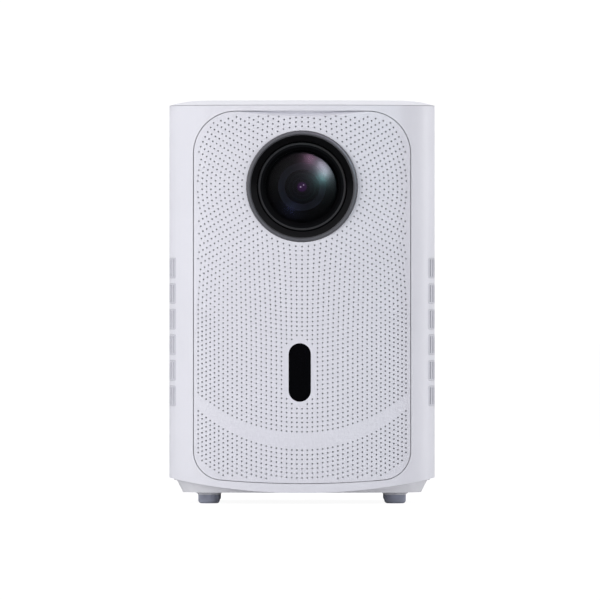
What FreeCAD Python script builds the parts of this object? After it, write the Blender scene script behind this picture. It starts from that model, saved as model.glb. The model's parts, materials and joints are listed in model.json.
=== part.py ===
"""Home projector: an upright rounded housing with a lens at the top of a perforated front panel.

Millimetres. +Z is up, the lens looks along -Y, and the origin is on the floor under the middle of the body.
Each function below makes one sub-part, or a few that are fitted together, and returns them by name.
"""
import FreeCAD, Part
import math
import os

V = FreeCAD.Vector

# Housing
body_width = 138.7
body_depth = 150.0
rim_z = 207.5               # top edge of the shell, where the crowned lid starts
lid_rise = 2.7
lid_spigot = 4.0
lid_shoulder = 20.0         # distance from the edge over which the lid rises
shell_wall = 2.4
front_bow_radius = 180.0
rear_bow_radius = 400.0
front_corner_radius = 28.0
rear_corner_radius = 24.0
skirt_z = 5.8               # lowest point of the shell's curved lower edge
skirt_radius = 318.0
fit_gap = 0.1               # between pieces that drop into each other
seam_gap = 0.4              # visible line around the panels

# Base, feet and tripod insert
base_inset_low = 7.1
base_inset_high = 3.9
base_chamfer_top = 12.1
base_floor = 2.5
base_rim_height = 8.0
foot_radius = 5.65
foot_height = 4.45
foot_edge = 1.7
foot_x = 48.6
foot_y = 44.0
foot_stem_radius = 2.2
tripod_bore_radius = 2.6    # minor diameter of a 1/4"-20 thread
tripod_insert_radius = 5.0
tripod_insert_length = 9.0
post_radius = 4.0
counterbore_wall = 1.0      # left between a base screw's counterbore and the base's edge
screw_radius = 1.5
screw_head_radius = 2.9
screw_clearance = 0.1
recess_reach = 1.7          # half length, width and depth of the cross in a screw's head
recess_width = 0.7
recess_depth = 0.9

# Front panel
panel_half_width = 56.4
panel_top = 204.3
panel_bottom = 10.9
panel_bottom_radius = 500.0
panel_corner_top = 22.0
panel_corner_bottom = 15.0
frame_overlap = 3.0
frame_thickness = 2.0
mesh_thickness = 0.5
window_width = 11.4
window_height = 30.3
window_z = 68.5
window_x = -1.2             # the window stands a little to the left of the lens

# Lens
lens_drop = 42.2            # lens axis below the rim
bezel_radius = 29.0
bezel_inner_radius = 26.7
bezel_proud = 0.6
bezel_depth = 9.5
hood_mouth_radius = 23.6
barrel_radius = 24.0
barrel_length = 50.0
barrel_wall = 2.2
barrel_setback = 6.5        # front of the barrel behind the bezel's face
running_gap = 0.05
glass_radius = 19.0
glass_seat_depth = 4.5      # seat of the front glass behind the barrel's mouth
glass_ledge = 2.4
glass_crown = 3.9
glass_thickness = 3.5
glass_edge = 3.6
barrel_chamfer = 1.2
cone_radius = 12.5          # the baffle cone behind the front glass, and the stop at its end
cone_depth = 12.0
stop_radius = 9.0
stop_depth = 17.0
stop_thickness = 1.5
middle_radius = 12.9
middle_thickness = 7.0
middle_crown = 1.2
rear_radius = 16.9
focus_travel = 1.5
ring_teeth = 60
pinion_teeth = 12
gear_module = 1.0
gear_width = 8.0
gear_backlash = 0.16
pinion_angle = -40.0        # direction of the pinion from the lens axis, seen from the front
sleeve_wall = 2.45
motor_radius = 7.5
motor_length = 11.5

# Side vents
vent_count = 6
vent_height = 10.7
vent_pitch = 13.35
vent_low_z = 50.8
vent_front_setback = 20.0   # front end of the vents behind the front
vent_length = 74.0
vent_slot = 1.4
vent_slot_pitch = 3.0
vent_corner = 1.2
vent_backing = 1.5

# Rear
rear_half_width = 44.0
rear_bottom = 20.0
rear_top = 196.0
rear_corner = 10.0
rear_flange = 3.0
rear_slot_height = 2.6
rear_slot_pitch = 5.0
rear_slot_rib = 5.0

# Room kept around the light engine
side_bay = 13.0
front_bay = 51.0
rear_cover_room = 4.4       # the rear cover and its bow, inside the shell
engine_floor_z = 44.0
engine_wall = 2.0
mirror_thickness = 3.0
plate_thickness = 2.0
ledge_depth = 3.0
ledge_height = 1.5
condenser_radius = 22.0
condenser_edge = 4.0
condenser_crown = 7.0

# Cooling
fan_size = 80.0
fan_thickness = 12.0
fan_hub_radius = 15.0
fan_blade_count = 9
fan_tip_gap = 1.0
fin_thickness = 0.8
fin_pitch = 3.2
fin_depth = 11.0
fin_gap = 1.2
fin_height = 60.0
pipe_radius = 3.0
pipe_bend = 8.0
pipe_spacing = 14.0
blower_size = 50.0
blower_thickness = 10.0
blower_blade_count = 18

# Electronics
board_thickness = 1.6
speaker_z = 48.0
speaker_gap = 0.7           # between a driver's basket and the panel's frame
basket_lip = 2.5
speaker_edge = 1.75
speaker_box_inner_x = 8.5
speaker_box_depth = 33.0
speaker_box_height = 76.0
speaker_wall = 2.0
cone_travel = 1.0
surround_z = 2.1            # rest height of the cone's surround over the box's front
socket_z = 34.0
button_radius = 11.0
button_ring_radius = 12.5
button_proud = 0.7
button_travel = 0.8

# Places worked out from the sizes above
front_y = -body_depth / 2
rear_y = body_depth / 2
shell_front_y = front_y + bezel_proud
half_width = body_width / 2
lens_z = rim_z - lens_drop
post_inset = base_inset_low + screw_head_radius + screw_clearance + counterbore_wall
inner_front_y = shell_front_y + shell_wall
inner_rear_y = rear_y - shell_wall
rear_bay = 2 * fin_gap + fin_depth + fan_thickness + rear_cover_room
engine_half_width = half_width - shell_wall - side_bay
engine_front_y = inner_front_y + front_bay
engine_rear_y = inner_rear_y - rear_bay
engine_y = (engine_front_y + engine_rear_y) / 2
engine_half_depth = (engine_rear_y - engine_front_y) / 2
engine_split_z = lens_z - engine_half_depth
base_floor_top = skirt_z + base_floor
power_board_z = skirt_z + tripod_insert_length + 0.6
fan_z = lens_z - 53.0
fan_y = inner_rear_y - rear_cover_room - fan_thickness


def box(x0, x1, y0, y1, z0, z1):
    return Part.makeBox(x1 - x0, y1 - y0, z1 - z0, V(x0, y0, z0))


def fuse(first, *others):
    return first.fuse(list(others)).removeSplitter()


def cut(first, *tools):
    return first.cut(list(tools))


def group(solids):
    return Part.makeCompound(list(solids))


def rod(radius, start, end):
    direction = V(*end) - V(*start)
    return Part.makeCylinder(radius, direction.Length, V(*start), direction)


def tube(outer, inner, start, end):
    return cut(rod(outer, start, end), rod(inner, start, end))


def cross_recess(x, y, z, axis):
    """The tool for the cross in a screw's head: two bars about the middle of the head's outer face."""
    half = recess_width / 2
    bars = []
    for wide, tall in ((recess_reach, half), (half, recess_reach)):
        if axis == "Z":
            bars.append(box(x - wide, x + wide, y - tall, y + tall, z - recess_depth, z + recess_depth))
        else:
            bars.append(box(x - wide, x + wide, y - recess_depth, y + recess_depth, z - tall, z + tall))
    return bars


def corner_centres():
    """Centres of the front and rear corner arcs on the +X side."""
    front_x = half_width - front_corner_radius
    front_reach = math.sqrt((front_bow_radius - front_corner_radius) ** 2 - front_x ** 2)
    rear_x = half_width - rear_corner_radius
    rear_reach = math.sqrt((rear_bow_radius - rear_corner_radius) ** 2 - rear_x ** 2)
    return (V(front_x, shell_front_y + front_bow_radius - front_reach, 0),
            V(rear_x, rear_y - rear_bow_radius + rear_reach, 0))


def outline(inset, z):
    """Plan outline of the housing, moved in by inset: two bowed ends, four round corners, two flat sides."""
    front, rear = corner_centres()
    ends = []
    for centre, bow_y, bow, corner in (
            (front, shell_front_y + front_bow_radius, -front_bow_radius, front_corner_radius),
            (rear, rear_y - rear_bow_radius, rear_bow_radius, rear_corner_radius)):
        bow_centre = V(0, bow_y, 0)
        away = (centre - bow_centre).normalize()
        radius = corner - inset
        side = V(centre.x + radius, centre.y, 0)
        middle = centre + (away + V(1, 0, 0)).normalize() * radius
        tip = V(0, bow_y + math.copysign(abs(bow) - inset, bow), 0)
        ends.append((tip, centre + away * radius, middle, side))

    def lifted(point, sign=1):
        return V(point.x * sign, point.y, z)

    edges = []
    (front_tip, front_touch, front_middle, front_side), (rear_tip, rear_touch, rear_middle, rear_side) = ends
    edges.append(Part.Arc(lifted(front_touch, -1), lifted(front_tip), lifted(front_touch)).toShape())
    edges.append(Part.Arc(lifted(front_touch), lifted(front_middle), lifted(front_side)).toShape())
    edges.append(Part.LineSegment(lifted(front_side), lifted(rear_side)).toShape())
    edges.append(Part.Arc(lifted(rear_side), lifted(rear_middle), lifted(rear_touch)).toShape())
    edges.append(Part.Arc(lifted(rear_touch), lifted(rear_tip), lifted(rear_touch, -1)).toShape())
    edges.append(Part.Arc(lifted(rear_touch, -1), lifted(rear_middle, -1), lifted(rear_side, -1)).toShape())
    edges.append(Part.LineSegment(lifted(rear_side, -1), lifted(front_side, -1)).toShape())
    edges.append(Part.Arc(lifted(front_side, -1), lifted(front_middle, -1),
                          lifted(front_touch, -1)).toShape())
    return Part.Wire(edges)


def prism(inset, z0, z1):
    return Part.Face(outline(inset, z0)).extrude(V(0, 0, z1 - z0))


def skin(inset, thickness, z0, z1):
    """A layer of the housing's wall."""
    return cut(prism(inset, z0, z1), prism(inset + thickness, z0, z1))


def slab(half, z0, z1, low_corner, high_corner, y0, y1, sag_radius=None):
    """A block seen from the front as a rectangle with round corners, its lower edge bowed if asked."""
    points = [V(half, y0, z1), V(-half, y0, z1)]
    if sag_radius:
        rise = sag_radius - math.sqrt(sag_radius ** 2 - half ** 2)
        bottom = Part.Arc(V(-half, y0, z0 + rise), V(0, y0, z0), V(half, y0, z0 + rise)).toShape()
    else:
        rise = 0
        bottom = Part.makeLine(V(-half, y0, z0), V(half, y0, z0))
    lines = [Part.makeLine(points[0], points[1]),
             Part.makeLine(points[1], V(-half, y0, z0 + rise)), bottom,
             Part.makeLine(V(half, y0, z0 + rise), points[0])]
    block = Part.Face(Part.Wire(lines)).extrude(V(0, y1 - y0, 0))
    for top, radius in ((False, low_corner), (True, high_corner)):
        corners = [edge for edge in block.Edges
                   if abs(edge.tangentAt(edge.FirstParameter).y) > 0.99
                   and (edge.BoundBox.ZMin > (z0 + z1) / 2) == top]
        block = block.makeFillet(radius, corners)
    return block


def turned(start, *steps):
    """A solid turned about Z. Each step is (r, z), or ((r, z), (r, z)) for an arc through the first point."""
    edges = []
    here = V(start[0], 0, start[1])
    for step in steps + (start,):
        if isinstance(step[0], tuple):
            middle, end = V(step[0][0], 0, step[0][1]), V(step[1][0], 0, step[1][1])
            edges.append(Part.Arc(here, middle, end).toShape())
        else:
            end = V(step[0], 0, step[1])
            if (end - here).Length < 1e-6:
                continue
            edges.append(Part.makeLine(here, end))
        here = end
    solid = Part.Face(Part.Wire(edges)).revolve(V(0, 0, 0), V(0, 0, 1), 360)
    return solid if solid.Volume > 0 else solid.reversed()


def dome(radius, edge_z, pole_z, to_pole=True):
    """The arc step of a spherical cap, for turned(): from its edge to its pole, or back."""
    rise = pole_z - edge_z
    sphere = (radius ** 2 + rise ** 2) / (2 * rise)
    middle = pole_z - sphere + math.copysign(math.sqrt(sphere ** 2 - radius ** 2 / 4), rise)
    return ((radius / 2, middle), (0, pole_z) if to_pole else (radius, edge_z))


def facing_front(shape, x, y, z):
    """Turns a shape made along +Z to point forwards, along -Y, and sets its origin at x, y, z."""
    shape = shape.copy()
    shape.rotate(V(0, 0, 0), V(1, 0, 0), 90)
    shape.translate(V(x, y, z))
    return shape


def on_lens_axis(shape, y):
    return facing_front(shape, 0, y, lens_z)


def front_surface(x, inset):
    """How far back the housing's front lies at x, moved in by inset."""
    corner, _ = corner_centres()
    if x < corner.x * (front_bow_radius - inset) / (front_bow_radius - front_corner_radius):
        return shell_front_y + front_bow_radius - math.sqrt((front_bow_radius - inset) ** 2 - x ** 2)
    return corner.y - math.sqrt((front_corner_radius - inset) ** 2 - (x - corner.x) ** 2)


def post_places():
    """Centres of the four corner posts inside the shell."""
    front, rear = corner_centres()
    step = math.sqrt(0.5)
    front_reach = (front_corner_radius - post_inset) * step
    rear_reach = (rear_corner_radius - post_inset) * step
    return [(side * (centre.x + reach), centre.y + along * reach)
            for centre, reach, along in ((front, front_reach, -1), (rear, rear_reach, 1))
            for side in (-1, 1)]


def panel_block(grow, y0, y1):
    """The front panel's outline as a block, made larger by grow."""
    return slab(panel_half_width + grow, panel_bottom - grow, panel_top + grow,
                panel_corner_bottom + grow, panel_corner_top + grow, y0, y1,
                panel_bottom_radius + grow)


def vent_blocks(side, grow):
    """The side windows as blocks that pass through the wall on one side."""
    y0 = shell_front_y + vent_front_setback - grow
    y1 = shell_front_y + vent_front_setback + vent_length + grow
    x0, x1 = sorted((side * (half_width - front_corner_radius / 2), side * (half_width + 1)))
    blocks = []
    for i in range(vent_count):
        z0 = vent_low_z + i * vent_pitch
        block = box(x0, x1, y0, y1, z0 - grow, z0 + vent_height + grow)
        along = [edge for edge in block.Edges if abs(edge.tangentAt(edge.FirstParameter).x) > 0.99]
        blocks.append(block.makeFillet(vent_corner + grow, along))
    return blocks


def pill(width, height, y0, y1):
    """An upright slot with round ends, at the sensor window's place."""
    half = width / 2
    reach = height / 2 - half
    low_z = window_z - reach
    high_z = window_z + reach
    return fuse(box(window_x - half, window_x + half, y0, y1, low_z, high_z),
                rod(half, (window_x, y0, low_z), (window_x, y1, low_z)),
                rod(half, (window_x, y0, high_z), (window_x, y1, high_z)))


def sockets():
    """Place and size of each socket in the rear: x, width, height."""
    return {"ac_inlet": (-26.0, 17.0, 9.6), "hdmi_socket": (-4.0, 15.6, 6.4),
            "usb_socket": (15.0, 14.0, 7.0), "audio_socket": (31.0, 8.0, 8.0)}


def speaker_layout():
    """Width of a speaker box between the sensor and a corner post, its middle, and its driver's radius."""
    width = post_places()[1][0] - post_radius - 0.6 - speaker_box_inner_x
    return width, speaker_box_inner_x + width / 2, width / 2 - speaker_edge


def rear_screw_places():
    x = rear_half_width - 6.0
    return [(side * x, z) for side in (-1, 1) for z in (rear_bottom + 6.0, rear_top - 6.0)]


def main_shell():
    body = skin(0, shell_wall, skirt_z, rim_z)
    skirt = Part.makeCylinder(skirt_radius, body_depth + 2, V(0, front_y - 1, skirt_z + skirt_radius),
                              V(0, 1, 0))
    body = body.common(skirt)
    posts = []
    bores = []
    rib_bands = ((base_floor_top, vent_low_z - 8.0), (vent_low_z + vent_count * vent_pitch + 4.0, rim_z))
    inside = prism(shell_wall, skirt_z, rim_z)
    rim_ring = skin(shell_wall, base_inset_high + 3.0, skirt_z, base_chamfer_top + base_rim_height + 0.5)
    for x, y in post_places():
        post = rod(post_radius, (x, y, base_floor_top), (x, y, rim_z))
        reach = V(math.copysign(1, x), math.copysign(1, y), 0).normalize() * post_inset
        ribs = [Part.makeBox(post_inset, 2.0, z1 - z0, V(0, -1, z0)) for z0, z1 in rib_bands]
        for rib in ribs:
            rib.rotate(V(0, 0, 0), V(0, 0, 1), math.degrees(math.atan2(reach.y, reach.x)))
            rib.translate(V(x, y, 0))
            posts.append(cut(rib.common(inside), rim_ring))
        posts.append(post)
        for z0, z1 in ((base_floor_top, base_floor_top + 12.0), (rim_z - 12.0, rim_z)):
            bores.append(rod(screw_radius + screw_clearance, (x, y, z0), (x, y, z1)))
    body = fuse(body, *posts)
    windows = vent_blocks(1, 0) + vent_blocks(-1, 0)
    front_cut = panel_block(seam_gap, front_y - 1, shell_front_y + 25)
    rear_cut = slab(rear_half_width + seam_gap, rear_bottom - seam_gap, rear_top + seam_gap,
                    rear_corner, rear_corner, inner_rear_y - 12, rear_y + 1)
    front_cut = cut(front_cut, *[rod(post_radius + 2, (x, y, 0), (x, y, rim_z)) for x, y in post_places()])
    return {"main_shell": cut(body, front_cut, rear_cut, *windows, *bores)}


def lid_sections(steps):
    """Outlines up the crowned lid: the rise follows one power curve from the edge to the flat middle."""
    wires = []
    for i in range(steps + 1):
        t = lid_shoulder * (i / steps) ** 1.5
        rise = lid_rise * (1 - (1 - t / lid_shoulder) ** 2.6)
        wires.append(outline(t, rim_z + seam_gap / 2 + rise))
    return wires


def top_cover():
    crown = Part.makeLoft(lid_sections(6), True, True)
    spigot = skin(shell_wall + fit_gap, 1.6, rim_z - lid_spigot, rim_z + seam_gap / 2)
    plate = prism(shell_wall + fit_gap, rim_z, rim_z + seam_gap / 2)
    hollow = prism(lid_shoulder, rim_z - 0.1, rim_z + seam_gap / 2 + lid_rise - 1.8)
    posts = [rod(post_radius + 1, (x, y, rim_z - 5), (x, y, rim_z)) for x, y in post_places()]
    rib_gaps = [box(x - post_inset, x + post_inset, y - post_inset, y + post_inset, rim_z - 5, rim_z)
                for x, y in post_places()]
    lid = fuse(crown, plate, cut(spigot, *posts, *rib_gaps))
    seat_z = rim_z + seam_gap / 2 + lid_rise
    lid = cut(lid, hollow, rod(button_ring_radius, (0, 0, rim_z - 1), (0, 0, seat_z + 1)))
    ring = turned((button_radius + fit_gap, rim_z - 0.6), (button_ring_radius, rim_z - 0.6),
                  (button_ring_radius, seat_z), (button_radius + fit_gap + 0.4, seat_z + button_proud - 0.1),
                  (button_radius + fit_gap, seat_z + button_proud - 0.1))
    keep = tube(button_ring_radius + 1.5, button_radius + fit_gap, (0, 0, rim_z - 1.2), (0, 0, rim_z - 0.6))
    lip_top = rim_z - 1.4
    button = turned((0, lip_top - 0.4), (button_radius, lip_top - 0.4),
                    (button_radius, seat_z + button_proud - 0.5),
                    ((button_radius - 0.15, seat_z + button_proud - 0.15),
                     (button_radius - 0.5, seat_z + button_proud)), (0, seat_z + button_proud))
    button = fuse(button, Part.makeCylinder(button_radius + 1.0, 0.8, V(0, 0, lip_top - 0.8)),
                  Part.makeCylinder(1.6, 2.4, V(0, 0, lip_top - 2.8)))
    switch_top = lip_top - 2.8 - button_travel - 0.1
    board_top = switch_top - 3.0
    switch = fuse(box(-3, 3, -3, 3, board_top, board_top + 2.4),
                  Part.makeCylinder(1.5, 3.0, V(0, 0, board_top)))
    board = cut(box(-14, 14, -12, 20, board_top - board_thickness, board_top),
                *[rod(screw_radius, (side * 9.0, 16.5, board_top - 3), (side * 9.0, 16.5, board_top + 1))
                  for side in (-1, 1)])
    pillars = [tube(3.0, screw_radius, (side * 9.0, 16.5, board_top), (side * 9.0, 16.5, rim_z + 1.4))
               for side in (-1, 1)]
    return {"top_cover": fuse(lid, *pillars), "button_ring": fuse(ring, keep), "power_button": button,
            "button_board": group([board, switch])}


def base():
    outer = fuse(Part.makeLoft([outline(base_inset_low, skirt_z), outline(base_inset_high, base_chamfer_top)],
                               True, True),
                 prism(shell_wall + fit_gap, base_chamfer_top, base_chamfer_top + base_rim_height))
    tray = cut(outer, prism(base_inset_low + 2.2, base_floor_top, base_chamfer_top + 1),
               prism(shell_wall + 2.2, base_chamfer_top + 0.6, base_chamfer_top + base_rim_height + 1))
    tools = []
    screws = []
    collars = []
    feet = []
    for x, y in post_places():
        tools.append(rod(screw_radius + screw_clearance, (x, y, 0), (x, y, base_floor_top + 1)))
        tools.append(rod(screw_head_radius + screw_clearance, (x, y, 0), (x, y, skirt_z + 1.4)))
        screw = fuse(rod(screw_head_radius, (x, y, skirt_z + 0.1), (x, y, skirt_z + 1.4)),
                     rod(screw_radius, (x, y, skirt_z + 1.4), (x, y, base_floor_top + 10.0)))
        screws.append(cut(screw, *cross_recess(x, y, skirt_z + 0.1, "Z")))
        tools.append(rod(post_radius + fit_gap, (x, y, base_floor_top), (x, y, base_floor_top + 20)))
    collar_height = skirt_z - foot_height
    for x in (-foot_x, foot_x):
        for y in (-foot_y, foot_y):
            collar = turned((0, foot_height), (foot_radius + 0.1, foot_height),
                            (foot_radius + 0.1, foot_height + collar_height * 0.3),
                            (foot_radius + 1.1, foot_height + collar_height * 0.7),
                            (foot_radius + 1.1, skirt_z + 0.5), (0, skirt_z + 0.5))
            collar.translate(V(x, y, 0))
            collars.append(collar)
            foot = turned((0, 0), (foot_radius - foot_edge, 0),
                          ((foot_radius - foot_edge * (1 - math.sqrt(0.5)), foot_edge * (1 - math.sqrt(0.5))),
                           (foot_radius, foot_edge)), (foot_radius, foot_height),
                          (foot_stem_radius, foot_height), (foot_stem_radius, base_floor_top - fit_gap),
                          (0, base_floor_top - fit_gap))
            foot.translate(V(x, y, 0))
            feet.append(foot)
            tools.append(rod(foot_stem_radius + fit_gap, (x, y, 0), (x, y, base_floor_top + 2)))
    slots = []
    for i in range(9):
        x = (i - 4) * 6.0
        slots.append(box(x - 1.4, x + 1.4, 22, 52, skirt_z - 1, base_floor_top + 1))
        slots.append(box(x - 1.4, x + 1.4, -52, -22, skirt_z - 1, base_floor_top + 1))
    insert_top = skirt_z + tripod_insert_length
    boss = rod(tripod_insert_radius + 3, (0, 0, base_floor_top), (0, 0, insert_top))
    pillars = [rod(2.5, (sx * 32, engine_y - 2 + sy * 24, base_floor_top - 0.5),
                   (sx * 32, engine_y - 2 + sy * 24, power_board_z)) for sx in (-1, 1) for sy in (-1, 1)]
    tools.append(rod(tripod_insert_radius, (0, 0, 0), (0, 0, insert_top + 1)))
    insert = tube(tripod_insert_radius, tripod_bore_radius, (0, 0, skirt_z), (0, 0, insert_top))
    plate = cut(fuse(tray, boss, *pillars, *collars), *tools, *slots)
    return {"base_plate": plate, "tripod_insert": insert, "foot_pads": group(feet), "screws": group(screws)}


def front():
    block = panel_block(0, front_y - 1, shell_front_y + 25)
    lens_hole = rod(bezel_radius + fit_gap, (0, front_y - 2, lens_z), (0, 0, lens_z))
    window_hole = pill(window_width + 2 * fit_gap, window_height + 2 * fit_gap, front_y - 2, 0)
    panel = skin(0, shell_wall, skirt_z, rim_z).common(block)
    panel = cut(panel, lens_hole, window_hole)
    clear = [rod(post_radius + 1, (x, y, 0), (x, y, rim_z)) for x, y in post_places()]
    deep = shell_front_y + 25
    seat = skin(shell_wall, frame_thickness, skirt_z + 1, rim_z - lid_spigot - fit_gap)
    opening = panel_block(-frame_overlap, front_y - 1, deep)
    base_room = base_chamfer_top + base_rim_height + 0.3
    frame = cut(seat.common(panel_block(2 * seam_gap, front_y - 1, deep)), opening,
                prism(shell_wall, skirt_z, base_room).common(
                    box(-half_width, half_width, front_y, deep, skirt_z, base_room)),
                *clear)
    mesh = skin(shell_wall, mesh_thickness, skirt_z + 1, rim_z).common(
        panel_block(-frame_overlap - fit_gap, front_y - 1, deep))
    mesh = cut(mesh, lens_hole, window_hole,
               box(-half_width, half_width, front_y, deep, 0, base_chamfer_top + base_rim_height + 0.3))
    window_y = shell_front_y + 0.25
    window = pill(window_width, window_height, window_y, window_y + 1.8)
    flange_y = inner_front_y + mesh_thickness + 0.35
    flange = pill(window_width + 3, window_height + 3, flange_y, flange_y + 1.0)
    board_y = inner_front_y + 8.0
    pegs = [rod(1.0, (window_x, flange_y, z), (window_x, board_y, z)) for z in (window_z - 15.2, window_z + 15.2)]
    window = fuse(window,
                  pill(window_width - 0.6, window_height - 0.6, window_y + 1, flange_y + 1.0),
                  flange, *pegs)
    board = box(window_x - 7, window_x + 7, board_y, board_y + board_thickness, window_z - 18, window_z + 18)
    eyes = [fuse(box(window_x - 4, window_x + 4, board_y - 3.0, board_y, z - 4, z + 4),
                 rod(2.6, (window_x, board_y - 4.4, z), (window_x, board_y - 2.9, z)))
            for z in (window_z - 7.5, window_z + 7.5)]
    return {"front_grille": panel, "grille_frame": frame, "acoustic_mesh": mesh, "sensor_window": window,
            "sensor_board": group([board] + eyes)}


def lens_front():
    """The trim ring and the cone that lead in to the lens."""
    chamfer = 1.2
    trim = turned((bezel_inner_radius, -2.6), (bezel_radius, -2.6), (bezel_radius, -chamfer),
                  ((bezel_radius - 0.35, -0.35), (bezel_radius - chamfer, 0)),
                  (bezel_radius - chamfer - 0.4, 0),
                  (bezel_inner_radius, -1.0))
    back = -bezel_depth
    mouth = -barrel_setback + focus_travel + 0.4
    cone = turned((bezel_inner_radius, -1.2), (bezel_inner_radius, -2.6), (bezel_radius, -2.6),
                  (bezel_radius, -shell_wall - mesh_thickness - 3.0), (bezel_radius - 1.5, back),
                  (barrel_radius + 0.5, back), (barrel_radius + 0.5, mouth), (hood_mouth_radius, mouth),
                  (hood_mouth_radius, mouth + 0.6))
    return {"lens_trim_ring": on_lens_axis(trim, front_y), "lens_hood": on_lens_axis(cone, front_y)}


def gear(teeth, bore, width, phase):
    """A spur gear along +Z with involute teeth, one tooth centred at angle phase."""
    pitch = teeth * gear_module / 2
    flat = math.radians(20)
    root, base_r, tip = pitch - 1.25 * gear_module, pitch * math.cos(flat), pitch + gear_module
    half_tooth = (math.pi * gear_module / 2 - gear_backlash) / 2 / pitch
    inv = math.tan(flat) - flat
    points = []
    for i in range(teeth):
        middle = phase + i * 2 * math.pi / teeth
        flank = [(root, half_tooth + inv + 0.006)]
        low = max(base_r, root + 0.02)
        for k in range(5):
            r = low + (tip - low) * k / 4
            turn = math.acos(min(1, base_r / r))
            flank.append((r, half_tooth + inv - (math.tan(turn) - turn)))
        points += [V(r * math.cos(middle - a), r * math.sin(middle - a), 0) for r, a in flank]
        points += [V(r * math.cos(middle + a), r * math.sin(middle + a), 0) for r, a in reversed(flank)]
    wheel = Part.Face(Part.makePolygon(points + points[:1])).extrude(V(0, 0, width))
    return cut(wheel, Part.makeCylinder(bore, width + 2, V(0, 0, -1)))


def lens_group():
    """The barrel with its glasses, the sleeve that it slides in, and the geared ring that moves it."""
    barrel_front = front_y + barrel_setback
    barrel_y = barrel_front + barrel_length
    front = barrel_length
    bore = barrel_radius - barrel_wall
    ledge = bore - glass_ledge
    seat = front - glass_seat_depth
    stop_back = front - stop_depth - stop_thickness
    middle_bore = middle_radius + fit_gap
    rear_bore = rear_radius + fit_gap
    barrel = turned((bore, 0), (barrel_radius, 0), (barrel_radius, front - barrel_chamfer),
                    (barrel_radius - barrel_chamfer, front), (bore, front), (bore, seat), (ledge, seat - 1.2),
                    (ledge, front - cone_depth), (cone_radius, front - cone_depth - 1.0),
                    (stop_radius, front - stop_depth), (stop_radius, stop_back), (middle_bore, stop_back),
                    (middle_bore, stop_back - 8.0), (rear_bore, stop_back - 11.5), (rear_bore, 10.0),
                    (bore, 8.0))
    retainer = turned((glass_radius, seat), (bore - running_gap, seat), (bore - running_gap, front - 0.4),
                      (bore - 1.2, front - 0.4), (glass_radius, front - 1.8))
    glass_rear = seat - glass_edge
    glass_pole = seat + glass_crown
    front_glass = turned((0, glass_pole - glass_thickness),
                         dome(glass_radius - 2.0, glass_rear, glass_pole - glass_thickness, False),
                         (ledge - running_gap, glass_rear), (ledge - running_gap, seat), (glass_radius, seat),
                         dome(glass_radius, seat, glass_pole))
    middle_rear = stop_back - middle_thickness
    middle_front = stop_back - middle_crown
    middle_glass = turned((0, middle_rear - 1.5), dome(middle_radius, middle_rear, middle_rear - 1.5, False),
                          (middle_radius, middle_front),
                          dome(middle_radius, middle_front, middle_front + middle_crown))
    rear_glass = turned((0, 3.0), dome(rear_radius, 5.4, 3.0, False), (rear_radius, 10.5),
                        dome(rear_radius, 10.5, 13.4))

    sleeve_outer = barrel_radius + sleeve_wall
    plate_y = engine_front_y
    plate_thick = 2.5
    sleeve_long = plate_y - (barrel_front + 15.5)
    sleeve = turned((barrel_radius + running_gap, 0), (sleeve_outer, 0), (sleeve_outer, sleeve_long),
                    (barrel_radius + running_gap, sleeve_long))
    sleeve = on_lens_axis(sleeve, plate_y)
    flange = box(-37, 37, plate_y - plate_thick, plate_y, lens_z - 31, lens_z + 31)
    flange = cut(flange, rod(barrel_radius + 1, (0, plate_y - 10, lens_z), (0, plate_y + 1, lens_z)))
    holes = [rod(screw_radius + screw_clearance, (x, plate_y - 5, z), (x, plate_y + 1, z))
             for x, z in mount_screw_places()]
    mount = cut(fuse(sleeve, flange), *holes)
    shoulder_y = plate_y - plate_thick - motor_length - 1.7
    ring_front_y = shoulder_y - gear_width
    shoulder = tube(sleeve_outer + 1.6, sleeve_outer, (0, 0, 0), (0, 0, 1.5))
    shoulder = on_lens_axis(shoulder, shoulder_y + 0.2 + 1.5)
    mount = fuse(mount, shoulder)
    angle = math.radians(pinion_angle)
    ring = gear(ring_teeth, sleeve_outer + running_gap, gear_width, angle + math.pi / ring_teeth)
    ring = on_lens_axis(ring, shoulder_y)
    clip = on_lens_axis(tube(sleeve_outer + 1.6, sleeve_outer, (0, 0, 0), (0, 0, 1.2)), ring_front_y - 0.2)
    centre = gear_module * (ring_teeth + pinion_teeth) / 2
    px, pz = centre * math.cos(angle), lens_z + centre * math.sin(angle)
    pinion = gear(pinion_teeth, 0.7, gear_width - 1, angle + math.pi)
    shaft = Part.makeCylinder(0.75, gear_width + 6.0, V(0, 0, -6.5))
    pinion = facing_front(fuse(pinion, shaft), px, shoulder_y - 0.5, pz)
    motor = rod(motor_radius, (px, plate_y - plate_thick, pz), (px, plate_y - plate_thick - motor_length, pz))
    motor = cut(motor, rod(0.8, (px, shoulder_y + 10, pz), (px, shoulder_y - 5, pz)))
    head_y = plate_y - plate_thick - 1.6
    screws = [cut(fuse(rod(screw_head_radius, (x, head_y, z), (x, plate_y - plate_thick, z)),
                       rod(screw_radius, (x, plate_y - plate_thick, z), (x, plate_y + 3.0, z))),
                  *cross_recess(x, head_y, z, "Y"))
              for x, z in mount_screw_places()]
    return {"lens_barrel": on_lens_axis(barrel, barrel_y),
            "lens_retaining_ring": on_lens_axis(retainer, barrel_y),
            "front_lens": on_lens_axis(front_glass, barrel_y),
            "middle_lens": on_lens_axis(middle_glass, barrel_y),
            "rear_lens": on_lens_axis(rear_glass, barrel_y),
            "lens_mount": mount, "focus_ring": ring, "focus_clip": clip, "focus_pinion": pinion,
            "focus_motor": motor, "screws": group(screws)}


def mount_screw_places():
    """The lens mount's screws: two above, and two below that pass clear of the focus motor."""
    return [(-32.0, lens_z + 27.0), (32.0, lens_z + 27.0), (-32.0, lens_z - 27.0), (14.0, lens_z - 27.0)]


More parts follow.
